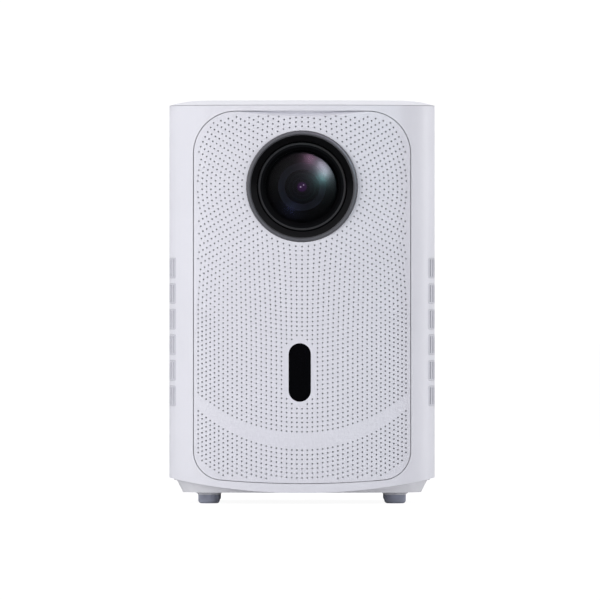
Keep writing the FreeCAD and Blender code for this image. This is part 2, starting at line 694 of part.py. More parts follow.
def engine():
    """The black box of the light engine, its plates, and the mirror that turns the light to the lens."""
    half, wall = engine_half_width, engine_wall
    y0, y1, z0, split = engine_front_y, engine_rear_y, engine_floor_z, engine_split_z
    lower = cut(box(-half, half, y0, y1, z0, split),
                box(-half + wall, half - wall, y0 + wall, y1 - wall, z0 - 1, split + 1))
    tall = split - z0
    levels = {"lower_fresnel": 0.50, "heat_glass": 0.62, "lcd_panel": 0.74, "upper_fresnel": 0.88}
    inner = (-half + wall, half - wall, y0 + wall, y1 - wall)
    gap = fit_gap
    parts = {}
    ledges = []
    for name, share in levels.items():
        z = z0 + tall * share
        ledge = cut(box(*inner, z - ledge_height, z),
                    box(inner[0] + ledge_depth, inner[1] - ledge_depth,
                        inner[2] + ledge_depth, inner[3] - ledge_depth,
                        z - ledge_height - 1, z + 1))
        ledges.append(ledge)
        parts[name] = box(inner[0] + gap, inner[1] - gap, inner[2] + gap, inner[3] - gap,
                          z, z + plate_thickness)
    lens_seat = z0 + tall * 0.16
    holder = cut(box(*inner, lens_seat - 2.5, lens_seat),
                 rod(condenser_radius - 1.0, (0, engine_y, lens_seat - 5), (0, engine_y, lens_seat + 1)))
    condenser = turned((0, 0), (condenser_radius, 0), (condenser_radius, condenser_edge),
                       dome(condenser_radius, condenser_edge, condenser_edge + condenser_crown))
    condenser.translate(V(0, engine_y, lens_seat))
    lcd_z = z0 + tall * levels["lcd_panel"]
    slot = box(-20.2, 20.2, y1 - wall - 1, y1 + 1, lcd_z - 0.1, lcd_z + 1.2)
    legs = [box(sx * (half - 3) - 3, sx * (half - 3) + 3, y - 3, y + 3, base_floor_top, z0)
            for sx in (-1, 1) for y in (y0 + 3, y1 - 3)]
    lower = cut(fuse(lower, holder, *ledges, *legs), slot)

    rise = y1 - y0
    side = [V(-half, y0, split), V(-half, y1, split), V(-half, y1, split + 6),
            V(-half, y0 + 6, split + rise), V(-half, y0, split + rise), V(-half, y0, split)]
    outer = Part.Face(Part.makePolygon(side)).extrude(V(2 * half, 0, 0))
    low = y0 + wall
    inside = [V(-half + wall, low, split - 1), V(-half + wall, y1 - wall, split - 1),
              V(-half + wall, y1 - wall, split + 6 - wall * 0.4),
              V(-half + wall, y0 + 6 - wall * 0.4, split + rise - wall),
              V(-half + wall, low, split + rise - wall), V(-half + wall, low, split - 1)]
    hollow = Part.Face(Part.makePolygon(inside)).extrude(V(2 * (half - wall), 0, 0))
    throat = rod(barrel_radius + 1.0, (0, y0 - 1, lens_z), (0, y0 + wall + 1, lens_z))
    pilots = [rod(screw_radius + 0.02, (x, y0 - 1, z), (x, y0 + 4, z)) for x, z in mount_screw_places()]
    pads = [rod(4.0, (x, y0 + wall - 0.5, z), (x, y0 + 3.5, z)) for x, z in mount_screw_places()]
    upper = cut(fuse(cut(outer, hollow), *[pad.common(outer) for pad in pads]), throat, *pilots)
    mirror_length = 1.1 * rise
    mirror = Part.makeBox(2 * (half - wall) - 8, mirror_length, mirror_thickness,
                          V(-(half - wall) + 4, -mirror_length / 2, 0))
    mirror.rotate(V(0, 0, 0), V(1, 0, 0), -45)
    slope = (y1 - wall) + (split + 6 - wall * 0.4)
    middle_y = (y1 + y0) / 2
    lower_face = (mirror_thickness + 0.15) * math.sqrt(0.5)
    mirror.translate(V(0, middle_y - lower_face, slope - middle_y - lower_face))
    parts["fold_mirror"] = mirror
    flex_y = y1 + 0.4
    flex = fuse(box(-20, 20, y1 - wall - 0.5, flex_y, lcd_z + 0.5, lcd_z + 0.8),
                box(-20, 20, flex_y - 0.3, flex_y, 66.0, lcd_z + 0.8))
    glass = parts.pop("lcd_panel")
    frame_cut = box(inner[0] + 8, inner[1] - 8, inner[2] + 6, inner[3] - 6, lcd_z - 1, lcd_z + 5)
    parts["lcd_frame"] = cut(glass, frame_cut, box(-20.1, 20.1, inner[3] - 3, inner[3] + 1, lcd_z, lcd_z + 3))
    parts["lcd_glass"] = glass.common(frame_cut)
    parts["lcd_ribbon"] = flex
    parts["engine_lower_housing"] = lower
    parts["engine_upper_housing"] = upper
    parts["condenser_lens"] = condenser
    return parts


def cooling():
    """The light source on its cold plate, the heat pipes, the fin stack, the exhaust fan and the blower."""
    plate_top = engine_floor_z - 8.0
    plate = box(-24, 24, engine_y - 24, engine_y + 24, plate_top - 8.0, plate_top)
    board = box(-20, 20, engine_y - 20, engine_y + 20, plate_top, plate_top + 2.0)
    emitter = box(-11, 11, engine_y - 11, engine_y + 11, plate_top + 2.0, plate_top + 3.2)
    fin_y0 = engine_rear_y + fin_gap
    fin_z0 = fan_z - fin_height / 2
    pipe_z = plate_top - 4.0
    run_y = fin_y0 + fin_depth / 2
    bend_y = run_y - pipe_bend
    pipes = []
    slant = pipe_bend * math.sqrt(0.5)
    for x in (-pipe_spacing, 0.0, pipe_spacing):
        flat_run = rod(pipe_radius, (x, engine_y - 20, pipe_z), (x, bend_y, pipe_z))
        bend_middle = V(x, bend_y + slant, pipe_z + pipe_bend - slant)
        arc_path = Part.Wire([Part.Arc(V(x, bend_y, pipe_z), bend_middle,
                                       V(x, run_y, pipe_z + pipe_bend)).toShape()])
        ring = Part.Wire([Part.makeCircle(pipe_radius, V(x, bend_y, pipe_z), V(0, 1, 0))])
        elbow = arc_path.makePipeShell([ring], True, False)
        riser = rod(pipe_radius, (x, run_y, pipe_z + pipe_bend), (x, run_y, fin_z0 + fin_height + 1.5))
        pipes.append(fuse(flat_run, elbow, riser))
    count = int(fin_height / fin_pitch)
    fins = [box(-fan_size / 2 + 4, fan_size / 2 - 4, fin_y0, fin_y0 + fin_depth, fin_z0 + i * fin_pitch,
                fin_z0 + i * fin_pitch + fin_thickness) for i in range(count)]
    end_x = fan_size / 2 - 3.5
    ends = [box(side * end_x - 0.5, side * end_x + 0.5, fin_y0, fin_y0 + fin_depth,
                fin_z0, fin_z0 + fin_height) for side in (-1, 1)]
    holes = [rod(pipe_radius, (x, run_y, 0), (x, run_y, rim_z)) for x in (-pipe_spacing, 0.0, pipe_spacing)]
    stack = cut(fuse(fins[0], *fins[1:], *ends), *holes)
    plate = cut(plate, *[rod(pipe_radius, (x, -body_depth, pipe_z), (x, body_depth, pipe_z))
                         for x in (-pipe_spacing, 0.0, pipe_spacing)])

    y0, y1 = fan_y, fan_y + fan_thickness
    half = fan_size / 2
    blade_tip = half - 3.0
    frame = cut(box(-half, half, y0, y1, fan_z - half, fan_z + half),
                rod(blade_tip + fan_tip_gap, (0, y0 - 1, fan_z), (0, y1 + 1, fan_z)))
    arms = [box(-blade_tip - 2, blade_tip + 2, y0, y0 + 1.5, fan_z - 2, fan_z + 2),
            box(-2, 2, y0, y0 + 1.5, fan_z - blade_tip - 2, fan_z + blade_tip + 2)]
    hub_seat = rod(fan_hub_radius, (0, y0, fan_z), (0, y0 + 1.5, fan_z))
    axle = rod(1.5, (0, y0, fan_z), (0, y1 - 1.5, fan_z))
    corner = half - 4
    corner_holes = [rod(2.1, (sx * corner, y0 - 1, fan_z + sz * corner),
                        (sx * corner, y1 + 1, fan_z + sz * corner)) for sx in (-1, 1) for sz in (-1, 1)]
    frame = cut(fuse(frame, hub_seat, axle, *arms), *corner_holes)
    hub = cut(rod(fan_hub_radius, (0, y0 + 2.2, fan_z), (0, y1 - 0.6, fan_z)),
              rod(1.5 + running_gap, (0, y0, fan_z), (0, y1 - 1.45, fan_z)))
    blades = [fan_blade(y0 + 2.6, y1 - 1.0, blade_tip, i * 360 / fan_blade_count)
              for i in range(fan_blade_count)]
    rotor = fuse(hub, *blades)

    bx0 = engine_half_width + 0.6
    bx1 = bx0 + blower_thickness
    by = engine_y
    bz = vent_low_z + 30.0
    size = blower_size / 2
    case = cut(box(bx0, bx1, by - size, by + size, bz - size, bz + size),
               rod(size - 3.5, (bx0 + 1.2, by, bz), (bx1 - 1.2, by, bz)),
               rod(size - 10, (bx1 - 2, by, bz), (bx1 + 1, by, bz)),
               box(bx0 + 1.2, bx1 - 1.2, by - 18, by + 2, bz + 10, bz + size + 1))
    case = fuse(case, rod(1.2, (bx0, by, bz), (bx1 - 2.5, by, bz)))
    wheel = cut(rod(9.0, (bx0 + 1.8, by, bz), (bx1 - 1.8, by, bz)),
                rod(1.2 + running_gap, (bx0, by, bz), (bx1 - 2.4, by, bz)))
    disc = cut(rod(17.0, (bx0 + 1.8, by, bz), (bx0 + 2.8, by, bz)), rod(5, (bx0, by, bz), (bx1, by, bz)))
    vanes = []
    for i in range(blower_blade_count):
        vane = box(bx0 + 1.8, bx1 - 2.2, by - 0.4, by + 0.4, bz + 12.0, bz + 18.5)
        vane.rotate(V(0, by, bz), V(1, 0, 0), i * 360 / blower_blade_count)
        vanes.append(vane)
    impeller = fuse(wheel, disc, *vanes)
    return {"cold_plate": plate, "led_board": board, "led_emitter": emitter, "heat_pipes": group(pipes),
            "fin_stack": stack, "fan_frame": frame, "fan_rotor": rotor, "blower_case": case,
            "blower_impeller": impeller}


def fan_blade(y0, y1, tip, turn):
    """One pitched blade: a slanted plate cut to the ring between the hub and the tip."""
    plate = Part.makeBox(tip + 2, 1.4, 16.0, V(fan_hub_radius - 1, -0.7, -8.0))
    plate.rotate(V(0, 0, 0), V(1, 0, 0), 48)
    plate = facing_front(plate, 0, (y0 + y1) / 2, fan_z)
    plate = plate.common(rod(tip, (0, y0, fan_z), (0, y1, fan_z)))
    plate.rotate(V(0, 0, fan_z), V(0, 1, 0), turn)
    return plate


def rear():
    opening = slab(rear_half_width, rear_bottom, rear_top, rear_corner, rear_corner,
                   inner_rear_y - 12, rear_y + 1)
    flange = slab(rear_half_width + rear_flange, rear_bottom, rear_top + rear_flange, rear_corner,
                  rear_corner + rear_flange, inner_rear_y - 12, rear_y + 1)
    cover = fuse(skin(0, shell_wall, skirt_z, rim_z).common(opening),
                 skin(shell_wall, 1.5, base_chamfer_top + base_rim_height + 0.3, rim_z - 5).common(flange))
    reach = fan_size / 2 - 3
    slots = []
    rows = int(reach / rear_slot_pitch)
    for i in range(-rows, rows + 1):
        z = fan_z + i * rear_slot_pitch
        long = math.sqrt(max(reach ** 2 - (i * rear_slot_pitch) ** 2, 0))
        if long < 2 * rear_slot_rib:
            continue
        for x0, x1 in ((-long, -rear_slot_rib / 2), (rear_slot_rib / 2, long)):
            slot = box(x0, x1, inner_rear_y - 6, rear_y + 1,
                       z - rear_slot_height / 2, z + rear_slot_height / 2)
            ends = [edge for edge in slot.Edges if abs(edge.tangentAt(edge.FirstParameter).y) > 0.99]
            slots.append(slot.makeFillet(rear_slot_height / 2 - 0.05, ends))
    holes = [box(x - w / 2 - 0.2, x + w / 2 + 0.2, inner_rear_y - 6, rear_y + 1,
                 socket_z - h / 2 - 0.2, socket_z + h / 2 + 0.2) for x, w, h in sockets().values()]
    screw_y = inner_rear_y
    screws = []
    pilots = []
    for x, z in rear_screw_places():
        outer_x = abs(x) + screw_head_radius
        surface = rear_y - rear_bow_radius + math.sqrt(rear_bow_radius ** 2 - outer_x ** 2)
        pilots.append(rod(screw_head_radius + screw_clearance, (x, surface - 1.5, z), (x, rear_y + 1, z)))
        pilots.append(rod(screw_radius + 0.02, (x, screw_y - 6, z), (x, rear_y, z)))
        screw = fuse(rod(screw_head_radius, (x, surface - 1.5, z), (x, surface - 0.2, z)),
                     rod(screw_radius, (x, screw_y - 4.5, z), (x, surface - 1.5, z)))
        screws.append(cut(screw, *cross_recess(x, surface - 0.2, z, "Y")))
    return {"rear_cover": cut(cover, *slots, *holes, *pilots), "screws": group(screws)}


def rear_sockets():
    """Sockets whose mouths sit just under the rear surface, soldered to the main board."""
    board_y = inner_rear_y - 12.0
    mouth_y = rear_y - 1.9
    solids = {}
    for name, (x, w, h) in sockets().items():
        block = box(x - w / 2, x + w / 2, board_y, mouth_y, socket_z - h / 2, socket_z + h / 2)
        if name == "ac_inlet":
            block = cut(block, slab_mouth(x, w - 2.4, h - 2.0, mouth_y - 10.0, mouth_y + 1))
            pins = [rod(1.15, (x + side * 4.3, mouth_y - 11, socket_z),
                        (x + side * 4.3, mouth_y - 2.0, socket_z))
                    for side in (-1, 1)]
            block = fuse(block, *pins)
        elif name == "hdmi_socket":
            block = cut(block, box(x - 7.0, x + 7.0, mouth_y - 9, mouth_y + 1,
                                   socket_z - 2.3, socket_z + 2.3))
            block = fuse(block, box(x - 5.5, x + 5.5, mouth_y - 9.5, mouth_y - 0.8,
                                    socket_z - 0.5, socket_z + 0.5))
        elif name == "usb_socket":
            block = cut(block, box(x - 6.25, x + 6.25, mouth_y - 10, mouth_y + 1,
                                   socket_z - 2.55, socket_z + 2.55))
            block = fuse(block, box(x - 5.5, x + 5.5, mouth_y - 10.5, mouth_y - 0.8,
                                    socket_z + 0.2, socket_z + 2.0))
        else:
            block = cut(block, rod(1.8, (x, mouth_y - 11, socket_z), (x, mouth_y + 1, socket_z)))
        solids[name] = block
    half = post_places()[3][0] - post_radius - 3.0
    board = box(-half, half, board_y - board_thickness, board_y, base_floor_top + 6, engine_floor_z + 20)
    chip_y = board_y - board_thickness
    chips = [box(-9, 9, chip_y - 1.6, chip_y, 44, 60), box(14, 24, chip_y - 1.2, chip_y, 46, 58),
             box(27, 37, chip_y - 1.2, chip_y, 46, 58), box(-30, -18, chip_y - 1.0, chip_y, 46, 56)]
    solids["main_board"] = board
    solids["main_board_chips"] = group(chips)
    return solids


def slab_mouth(x, width, height, y0, y1):
    block = box(x - width / 2, x + width / 2, y0, y1, socket_z - height / 2, socket_z + height / 2)
    ends = [edge for edge in block.Edges if abs(edge.tangentAt(edge.FirstParameter).y) > 0.99]
    return block.makeFillet(height / 2 - 0.1, ends)


def power_supply():
    z = power_board_z
    board = box(-36, 36, engine_y - 30, engine_y + 26, z, z + board_thickness)
    top = z + board_thickness
    parts = [box(-12, 12, engine_y - 12, engine_y + 10, top, top + 10),
             rod(6.0, (-24, engine_y - 8, top), (-24, engine_y - 8, top + 9.5)),
             rod(4.0, (24, engine_y - 14, top), (24, engine_y - 14, top + 9)),
             rod(4.0, (24, engine_y - 3, top), (24, engine_y - 3, top + 9)),
             box(-31, -17, engine_y + 6, engine_y + 18, top, top + 8),
             box(18, 30, engine_y + 6, engine_y + 18, top, top + 9)]
    return {"power_board": board, "power_components": group(parts)}


def speakers():
    """Two small sealed boxes with one driver each, behind the lower half of the panel."""
    solids = {}
    boxes = []
    baskets = []
    speaker_box_width, speaker_x, speaker_radius = speaker_layout()
    basket_x = speaker_x + speaker_radius + 1.0
    behind_frame = shell_wall + frame_thickness + speaker_gap
    box_front = max(front_surface(basket_x, behind_frame) + basket_lip,
                    front_surface(speaker_box_inner_x + speaker_box_width, behind_frame))
    for side, name in ((-1, "left"), (1, "right")):
        x0, x1 = sorted((side * speaker_box_inner_x, side * (speaker_box_inner_x + speaker_box_width)))
        cx = side * speaker_x
        z0 = base_floor_top + 6.0
        outer = box(x0, x1, box_front, box_front + speaker_box_depth, z0, z0 + speaker_box_height)
        inner = box(x0 + speaker_wall, x1 - speaker_wall, box_front + speaker_wall,
                    box_front + speaker_box_depth - speaker_wall, z0 + speaker_wall,
                    z0 + speaker_box_height - speaker_wall)
        mouth = rod(speaker_radius - 1.5, (cx, box_front - 1, speaker_z), (cx, box_front + 3, speaker_z))
        foot = [box(x, x + 4, box_front + 6, box_front + 10, base_floor_top, z0) for x in (x0 + 4, x1 - 8)]
        boxes.append(fuse(cut(outer, inner, mouth), *foot))
        ledge_z = surround_z - cone_travel - fit_gap
        basket = turned((speaker_radius - 3.5, 0), (speaker_radius + 1.0, 0),
                        (speaker_radius + 1.0, basket_lip),
                        (speaker_radius - 1.0, basket_lip), (speaker_radius - 1.0, ledge_z),
                        (speaker_radius - 3.5, ledge_z))
        cage = turned((7.0, -12.0), (12.0, -12.0), (speaker_radius - 1.8, 0), (speaker_radius - 1.8, ledge_z),
                      (speaker_radius - 3.2, ledge_z), (11.0, -11.0), (7.0, -11.0))
        magnet = turned((0, -18.0), (12.0, -18.0), (12.0, -11.5), (7.0, -11.5), (7.0, -15.0), (0, -15.0))
        baskets.append(facing_front(fuse(basket, cage, magnet), cx, box_front, speaker_z))
        cone = turned((0, -4.2), dome(7.5, -6.2, -4.2, False), (speaker_radius - 4.4, surround_z),
                      (speaker_radius - 1.5, surround_z + 0.8), (speaker_radius - 1.5, surround_z + 1.2),
                      (speaker_radius - 4.6, surround_z + 0.5), (7.2, -5.5), dome(7.2, -5.5, -3.6))
        coil = turned((5.4, -12.5), (6.0, -12.5), (6.0, -5.4), (5.4, -5.4))
        solids["speaker_cone_" + name] = facing_front(fuse(cone, coil), cx, box_front, speaker_z)
    solids["speaker_boxes"] = group(boxes)
    solids["speaker_baskets"] = group(baskets)
    return solids


def side_vents():
    solids = {}
    y0 = shell_front_y + vent_front_setback
    y1 = y0 + vent_length
    z0 = vent_low_z - 4.0
    z1 = vent_low_z + (vent_count - 1) * vent_pitch + vent_height + 4.0
    layers = skin(shell_wall + fit_gap, vent_backing, z0, z1)
    wall = skin(0, shell_wall + fit_gap, z0, z1)
    count = int((vent_length - 2.0) / vent_slot_pitch)
    start = (y0 + y1) / 2 - (count - 1) * vent_slot_pitch / 2
    for side, name in ((-1, "left"), (1, "right")):
        x0, x1 = sorted((side * (half_width - front_corner_radius / 2), side * (half_width + 1)))
        backing = layers.common(box(x0, x1, y0 - 3, y1 + 4, z0, z1))
        pads = [wall.common(block) for block in vent_blocks(side, -fit_gap)]
        slots = [box(x0 - 1, x1 + 1, start + k * vent_slot_pitch - vent_slot / 2,
                     start + k * vent_slot_pitch + vent_slot / 2,
                     vent_low_z + i * vent_pitch + 0.9, vent_low_z + i * vent_pitch + vent_height - 0.9)
                 for k in range(count) for i in range(vent_count)]
        solids["side_vent_" + name] = cut(fuse(backing, *pads), *slots)
    return solids


def main():
    os.makedirs("parts", exist_ok=True)
    makers = (main_shell, top_cover, base, front, lens_front, lens_group, engine, cooling, rear, rear_sockets,
              power_supply, speakers, side_vents)
    screws = []
    for make in makers:
        made = make()
        if "screws" in made:
            screws += made.pop("screws").Solids
        if make is makers[-1]:
            made["screws"] = group(screws)
        for name, shape in made.items():
            good = shape.isValid() and all(solid.Volume > 0 for solid in shape.Solids)
            state = "ok" if good else "BAD"
            print(f"{name:24s} solids {len(shape.Solids)} volume {shape.Volume:10.1f} {state}")
            shape.exportStep(f"parts/{name}.step")


main()
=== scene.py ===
import json
import math

import bmesh
import bpy
from mathutils import Matrix, Vector


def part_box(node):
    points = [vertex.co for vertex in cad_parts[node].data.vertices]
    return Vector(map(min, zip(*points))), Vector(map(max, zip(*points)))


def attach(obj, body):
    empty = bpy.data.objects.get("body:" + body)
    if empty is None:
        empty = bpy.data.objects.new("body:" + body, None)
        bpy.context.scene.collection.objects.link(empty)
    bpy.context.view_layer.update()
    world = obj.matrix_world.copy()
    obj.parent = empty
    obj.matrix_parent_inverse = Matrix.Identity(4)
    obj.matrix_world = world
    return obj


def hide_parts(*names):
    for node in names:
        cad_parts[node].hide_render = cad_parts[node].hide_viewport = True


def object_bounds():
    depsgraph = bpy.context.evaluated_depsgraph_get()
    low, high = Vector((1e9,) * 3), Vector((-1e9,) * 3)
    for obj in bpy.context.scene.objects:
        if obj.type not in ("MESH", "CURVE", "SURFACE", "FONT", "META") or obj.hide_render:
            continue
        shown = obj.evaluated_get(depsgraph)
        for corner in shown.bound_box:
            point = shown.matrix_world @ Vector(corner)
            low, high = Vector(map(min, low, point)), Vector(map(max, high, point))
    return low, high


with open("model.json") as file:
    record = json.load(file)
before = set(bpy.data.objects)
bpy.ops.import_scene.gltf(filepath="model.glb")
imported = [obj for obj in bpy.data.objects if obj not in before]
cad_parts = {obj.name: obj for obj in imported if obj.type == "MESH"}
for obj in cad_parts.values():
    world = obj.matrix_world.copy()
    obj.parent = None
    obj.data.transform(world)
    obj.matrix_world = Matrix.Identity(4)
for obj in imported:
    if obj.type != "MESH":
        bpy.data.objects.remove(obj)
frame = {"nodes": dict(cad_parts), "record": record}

cad_box = [list(corner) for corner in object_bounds()]
MM = 0.001


# ---------------------------------------------------------------- the table and the air
# A white table that runs far back, under an even white air. Gloss and glass see the air as bright behind the
# body and dim in front of it, as in a studio with black cloth about the camera.
def node_in(tree, kind, values=None, **settings):
    """Adds a node, sets its options, and sets or links its inputs by name or number."""
    node = tree.nodes.new(kind)
    for option, value in settings.items():
        setattr(node, option, value)
    for key, value in (values or {}).items():
        if isinstance(value, bpy.types.NodeSocket):
            tree.links.new(value, node.inputs[key])
        else:
            node.inputs[key].default_value = value
    return node


floor_size = 60.0
half_floor = floor_size / 2
floor_mesh = bpy.data.meshes.new("table_top")
floor_corners = [(-half_floor, -half_floor, 0), (half_floor, -half_floor, 0),
                 (half_floor, half_floor, 0), (-half_floor, half_floor, 0)]
floor_mesh.from_pydata(floor_corners, [], [(0, 1, 2, 3)])
table_top = bpy.data.objects.new("table_top", floor_mesh)
bpy.context.scene.collection.objects.link(table_top)
table_white = bpy.data.materials.new("table_white")
table_white.use_nodes = True
table_tree = table_white.node_tree
table_matt = table_tree.nodes["Principled BSDF"]
table_matt.inputs["Base Color"].default_value = (0.86, 0.86, 0.88, 1.0)
table_matt.inputs["Roughness"].default_value = 0.9
table_glow = node_in(table_tree, "ShaderNodeEmission", {"Strength": 1.12})
table_dim = node_in(table_tree, "ShaderNodeEmission", {"Strength": 0.05})
table_clear = node_in(table_tree, "ShaderNodeBsdfTransparent")
table_seen = node_in(table_tree, "ShaderNodeLightPath")
table_side = node_in(table_tree, "ShaderNodeNewGeometry")
glow_share = 0.84
table_share = node_in(table_tree, "ShaderNodeMath", {0: table_seen.outputs["Is Camera Ray"], 1: glow_share},
                      operation="MULTIPLY")
table_finish = table_matt.outputs["BSDF"]
for share, finish in ((table_share.outputs["Value"], table_glow.outputs["Emission"]),
                      (table_seen.outputs["Is Glossy Ray"], table_dim.outputs["Emission"]),
                      (table_side.outputs["Backfacing"], table_clear.outputs["BSDF"])):
    table_mix = node_in(table_tree, "ShaderNodeMixShader", {0: share, 1: table_finish, 2: finish})
    table_finish = table_mix.outputs["Shader"]
table_tree.links.new(table_finish, table_tree.nodes["Material Output"].inputs["Surface"])
floor_mesh.materials.append(table_white)

world = bpy.data.worlds.new("studio_air")
bpy.context.scene.world = world
world.use_nodes = True
air = world.node_tree
air.nodes.clear()
seen = node_in(air, "ShaderNodeLightPath")
white = node_in(air, "ShaderNodeBackground", {"Color": (1.0, 1.0, 1.0, 1.0), "Strength": 1.05})
soft = node_in(air, "ShaderNodeBackground", {"Color": (0.965, 0.965, 1.0, 1.0), "Strength": 0.60})
around = node_in(air, "ShaderNodeTexCoord")
heading = node_in(air, "ShaderNodeSeparateXYZ", {"Vector": around.outputs["Generated"]})
behind = node_in(air, "ShaderNodeMapRange",
                 {"Value": heading.outputs["Y"], "From Min": -0.35, "From Max": 0.45, "To Min": 0.10,
                  "To Max": 0.95})
dim = node_in(air, "ShaderNodeBackground",
              {"Color": (0.95, 0.96, 1.0, 1.0), "Strength": behind.outputs["Result"]})
gloss_or_soft = node_in(air, "ShaderNodeMixShader",
                        {0: seen.outputs["Is Glossy Ray"], 1: soft.outputs[0], 2: dim.outputs[0]})
camera_or_rest = node_in(air, "ShaderNodeMixShader",
                         {0: seen.outputs["Is Camera Ray"], 1: gloss_or_soft.outputs[0], 2: white.outputs[0]})
node_in(air, "ShaderNodeOutputWorld", {"Surface": camera_or_rest.outputs["Shader"]})


# ---------------------------------------------------------------- the lamps
# A broad window at the left, a strip beside the body at the right for the edge and a cloth overhead for the
# lid. Four small tinted softboxes high on the right and a low blue one on the left show only in gloss.
def lamp(name, place, aim, width, height, power, tint=(1.0, 1.0, 1.0), only_gloss=False, in_gloss=True):
    light = bpy.data.lights.new(name, "AREA")
    light.shape = "ELLIPSE" if only_gloss else "RECTANGLE"
    light.size = width
    light.size_y = height
    light.energy = power
    light.color = tint
    holder = bpy.data.objects.new(name, light)
    bpy.context.scene.collection.objects.link(holder)
    facing = (Vector(aim) - Vector(place)).to_track_quat("-Z", "Y").to_matrix().to_4x4()
    holder.matrix_world = Matrix.Translation(place) @ facing
    holder.visible_camera = False
    holder.visible_transmission = False
    holder.visible_diffuse = not only_gloss
    holder.visible_glossy = in_gloss


body_middle = (0.0, 0.0, 0.11)
glass_place = (0.0, -0.07, 0.165)
lamp("window_left", (-1.3, -1.35, 0.9), body_middle, 1.4, 1.4, 15.5, in_gloss=False)
lamp("strip_right", (1.5, 0.5, 0.4), body_middle, 0.5, 1.4, 8.5)
lamp("cloth_above", (0.0, 0.6, 1.6), body_middle, 1.6, 1.6, 6.0)
softbox_width = 0.15
softboxes = {"softbox_violet": ((0.22, -1.10, 0.93), 1.9, (0.85, 0.45, 0.75)),
             "softbox_lilac": ((0.53, -1.10, 0.75), 3.2, (0.84, 0.78, 1.0)),
             "softbox_pale": ((0.64, -1.13, 0.58), 3.4, (0.80, 0.85, 1.0)),
             "softbox_teal": ((0.57, -1.21, 0.44), 1.8, (0.25, 0.85, 0.85))}
for name, (place, power, tint) in softboxes.items():
    lamp(name, place, glass_place, softbox_width, softbox_width, power, tint, only_gloss=True)
lamp("glow_low", (-0.06, -0.28, 0.04), glass_place, 0.05, 0.05, 0.011, (0.30, 0.38, 1.0), only_gloss=True)


# ---------------------------------------------------------------- the camera
# Level with the middle of the body, far off with a long lens, so that the verticals stay upright.
eye_distance = 6.0
view_width = 0.312
eye_offset = -1.07 * MM
eye_height = 106.2 * MM
camera = bpy.data.cameras.new("eye")
camera.sensor_width = 36.0
camera.lens = camera.sensor_width * eye_distance / view_width
eye = bpy.data.objects.new("eye", camera)
bpy.context.scene.collection.objects.link(eye)
eye.location = (eye_offset, cad_box[0][1] - eye_distance, eye_height)
eye.rotation_euler = (math.radians(90), 0, 0)
camera.clip_end = 30.0
bpy.context.scene.camera = eye
bpy.context.scene.view_settings.view_transform = "Standard"


# ---------------------------------------------------------------- housing: shell, lid, base and rear cover
# Thick-walled mouldings in a cool white polymer with a fine spark-eroded texture. The lid drops into the
# shell, the base tray closes it from below, and four long posts take the screws.
def socket_in(group, kind, name, value):
    socket = group.interface.new_socket(name, in_out="INPUT", socket_type=kind)
    socket.default_value = value
    return socket


def maths(tree, operation, first, second=0.0):
    node = node_in(tree, "ShaderNodeMath", {0: first, 1: second}, operation=operation)
    return node.outputs["Value"]


def moulded_grain_group():
    """Fine texture of a moulded face: a grain height, and slow drifts of tone and gloss over the piece."""
    group = bpy.data.node_groups.new("moulded_grain", "ShaderNodeTree")
    socket_in(group, "NodeSocketColor", "Tone", (0.8, 0.8, 0.8, 1.0))
    socket_in(group, "NodeSocketFloat", "Grain Size", 0.0004)
    socket_in(group, "NodeSocketFloat", "Drift", 0.02)
    socket_in(group, "NodeSocketFloat", "Gloss", 0.45)
    for name, kind in (("Color", "NodeSocketColor"), ("Roughness", "NodeSocketFloat"),
                       ("Height", "NodeSocketFloat")):
        group.interface.new_socket(name, in_out="OUTPUT", socket_type=kind)
    given = node_in(group, "NodeGroupInput").outputs
    place = node_in(group, "ShaderNodeTexCoord").outputs["Object"]
    fineness = maths(group, "DIVIDE", 1.0, given["Grain Size"])
    grain = node_in(group, "ShaderNodeTexNoise",
                    {"Vector": place, "Scale": fineness, "Detail": 3.0, "Roughness": 0.6}).outputs["Fac"]
    drift = node_in(group, "ShaderNodeTexNoise",
                    {"Vector": place, "Scale": 14.0, "Detail": 2.0}).outputs["Fac"]
    low = maths(group, "SUBTRACT", 1.0, given["Drift"])
    high = maths(group, "ADD", 1.0, given["Drift"])
    factor = node_in(group, "ShaderNodeMapRange",
                     {"Value": drift, "From Min": 0.3, "From Max": 0.7, "To Min": low, "To Max": high})
    tone = node_in(group, "ShaderNodeVectorMath", {0: given["Tone"], "Scale": factor.outputs["Result"]},
                   operation="SCALE")
    speckle = node_in(group, "ShaderNodeMapRange",
                      {"Value": grain, "From Min": 0.3, "From Max": 0.7, "To Min": 0.92, "To Max": 1.08})
    gloss = maths(group, "MULTIPLY", given["Gloss"], speckle.outputs["Result"])
    node_in(group, "NodeGroupOutput", {"Color": tone.outputs["Vector"], "Roughness": gloss, "Height": grain})
    return group


moulded_grain = moulded_grain_group()


def moulding(name, colour, gloss=0.45, grain_size=0.35 * MM, grain_depth=0.02 * MM, drift=0.015,
             **shader_values):
    """A moulded or coated finish: the grain group feeding one Principled shader."""
    material = bpy.data.materials.new(name)
    material.use_nodes = True
    tree = material.node_tree
    shader = tree.nodes["Principled BSDF"]
    grain = node_in(tree, "ShaderNodeGroup", node_tree=moulded_grain)
    grain.inputs["Tone"].default_value = (*colour, 1.0)
    grain.inputs["Grain Size"].default_value = grain_size
    grain.inputs["Drift"].default_value = drift
    grain.inputs["Gloss"].default_value = gloss
    bump = node_in(tree, "ShaderNodeBump",
                   {"Strength": 1.0, "Distance": grain_depth, "Height": grain.outputs["Height"]})
    tree.links.new(grain.outputs["Color"], shader.inputs["Base Color"])
    tree.links.new(grain.outputs["Roughness"], shader.inputs["Roughness"])
    tree.links.new(bump.outputs["Normal"], shader.inputs["Normal"])
    for socket, value in shader_values.items():
        shader.inputs[socket.replace("_", " ")].default_value = value
    return material


def dress(node, material):
    """Gives a frame node its finish."""
    mesh = frame["nodes"][node].data
    mesh.materials.clear()
    mesh.materials.append(material)


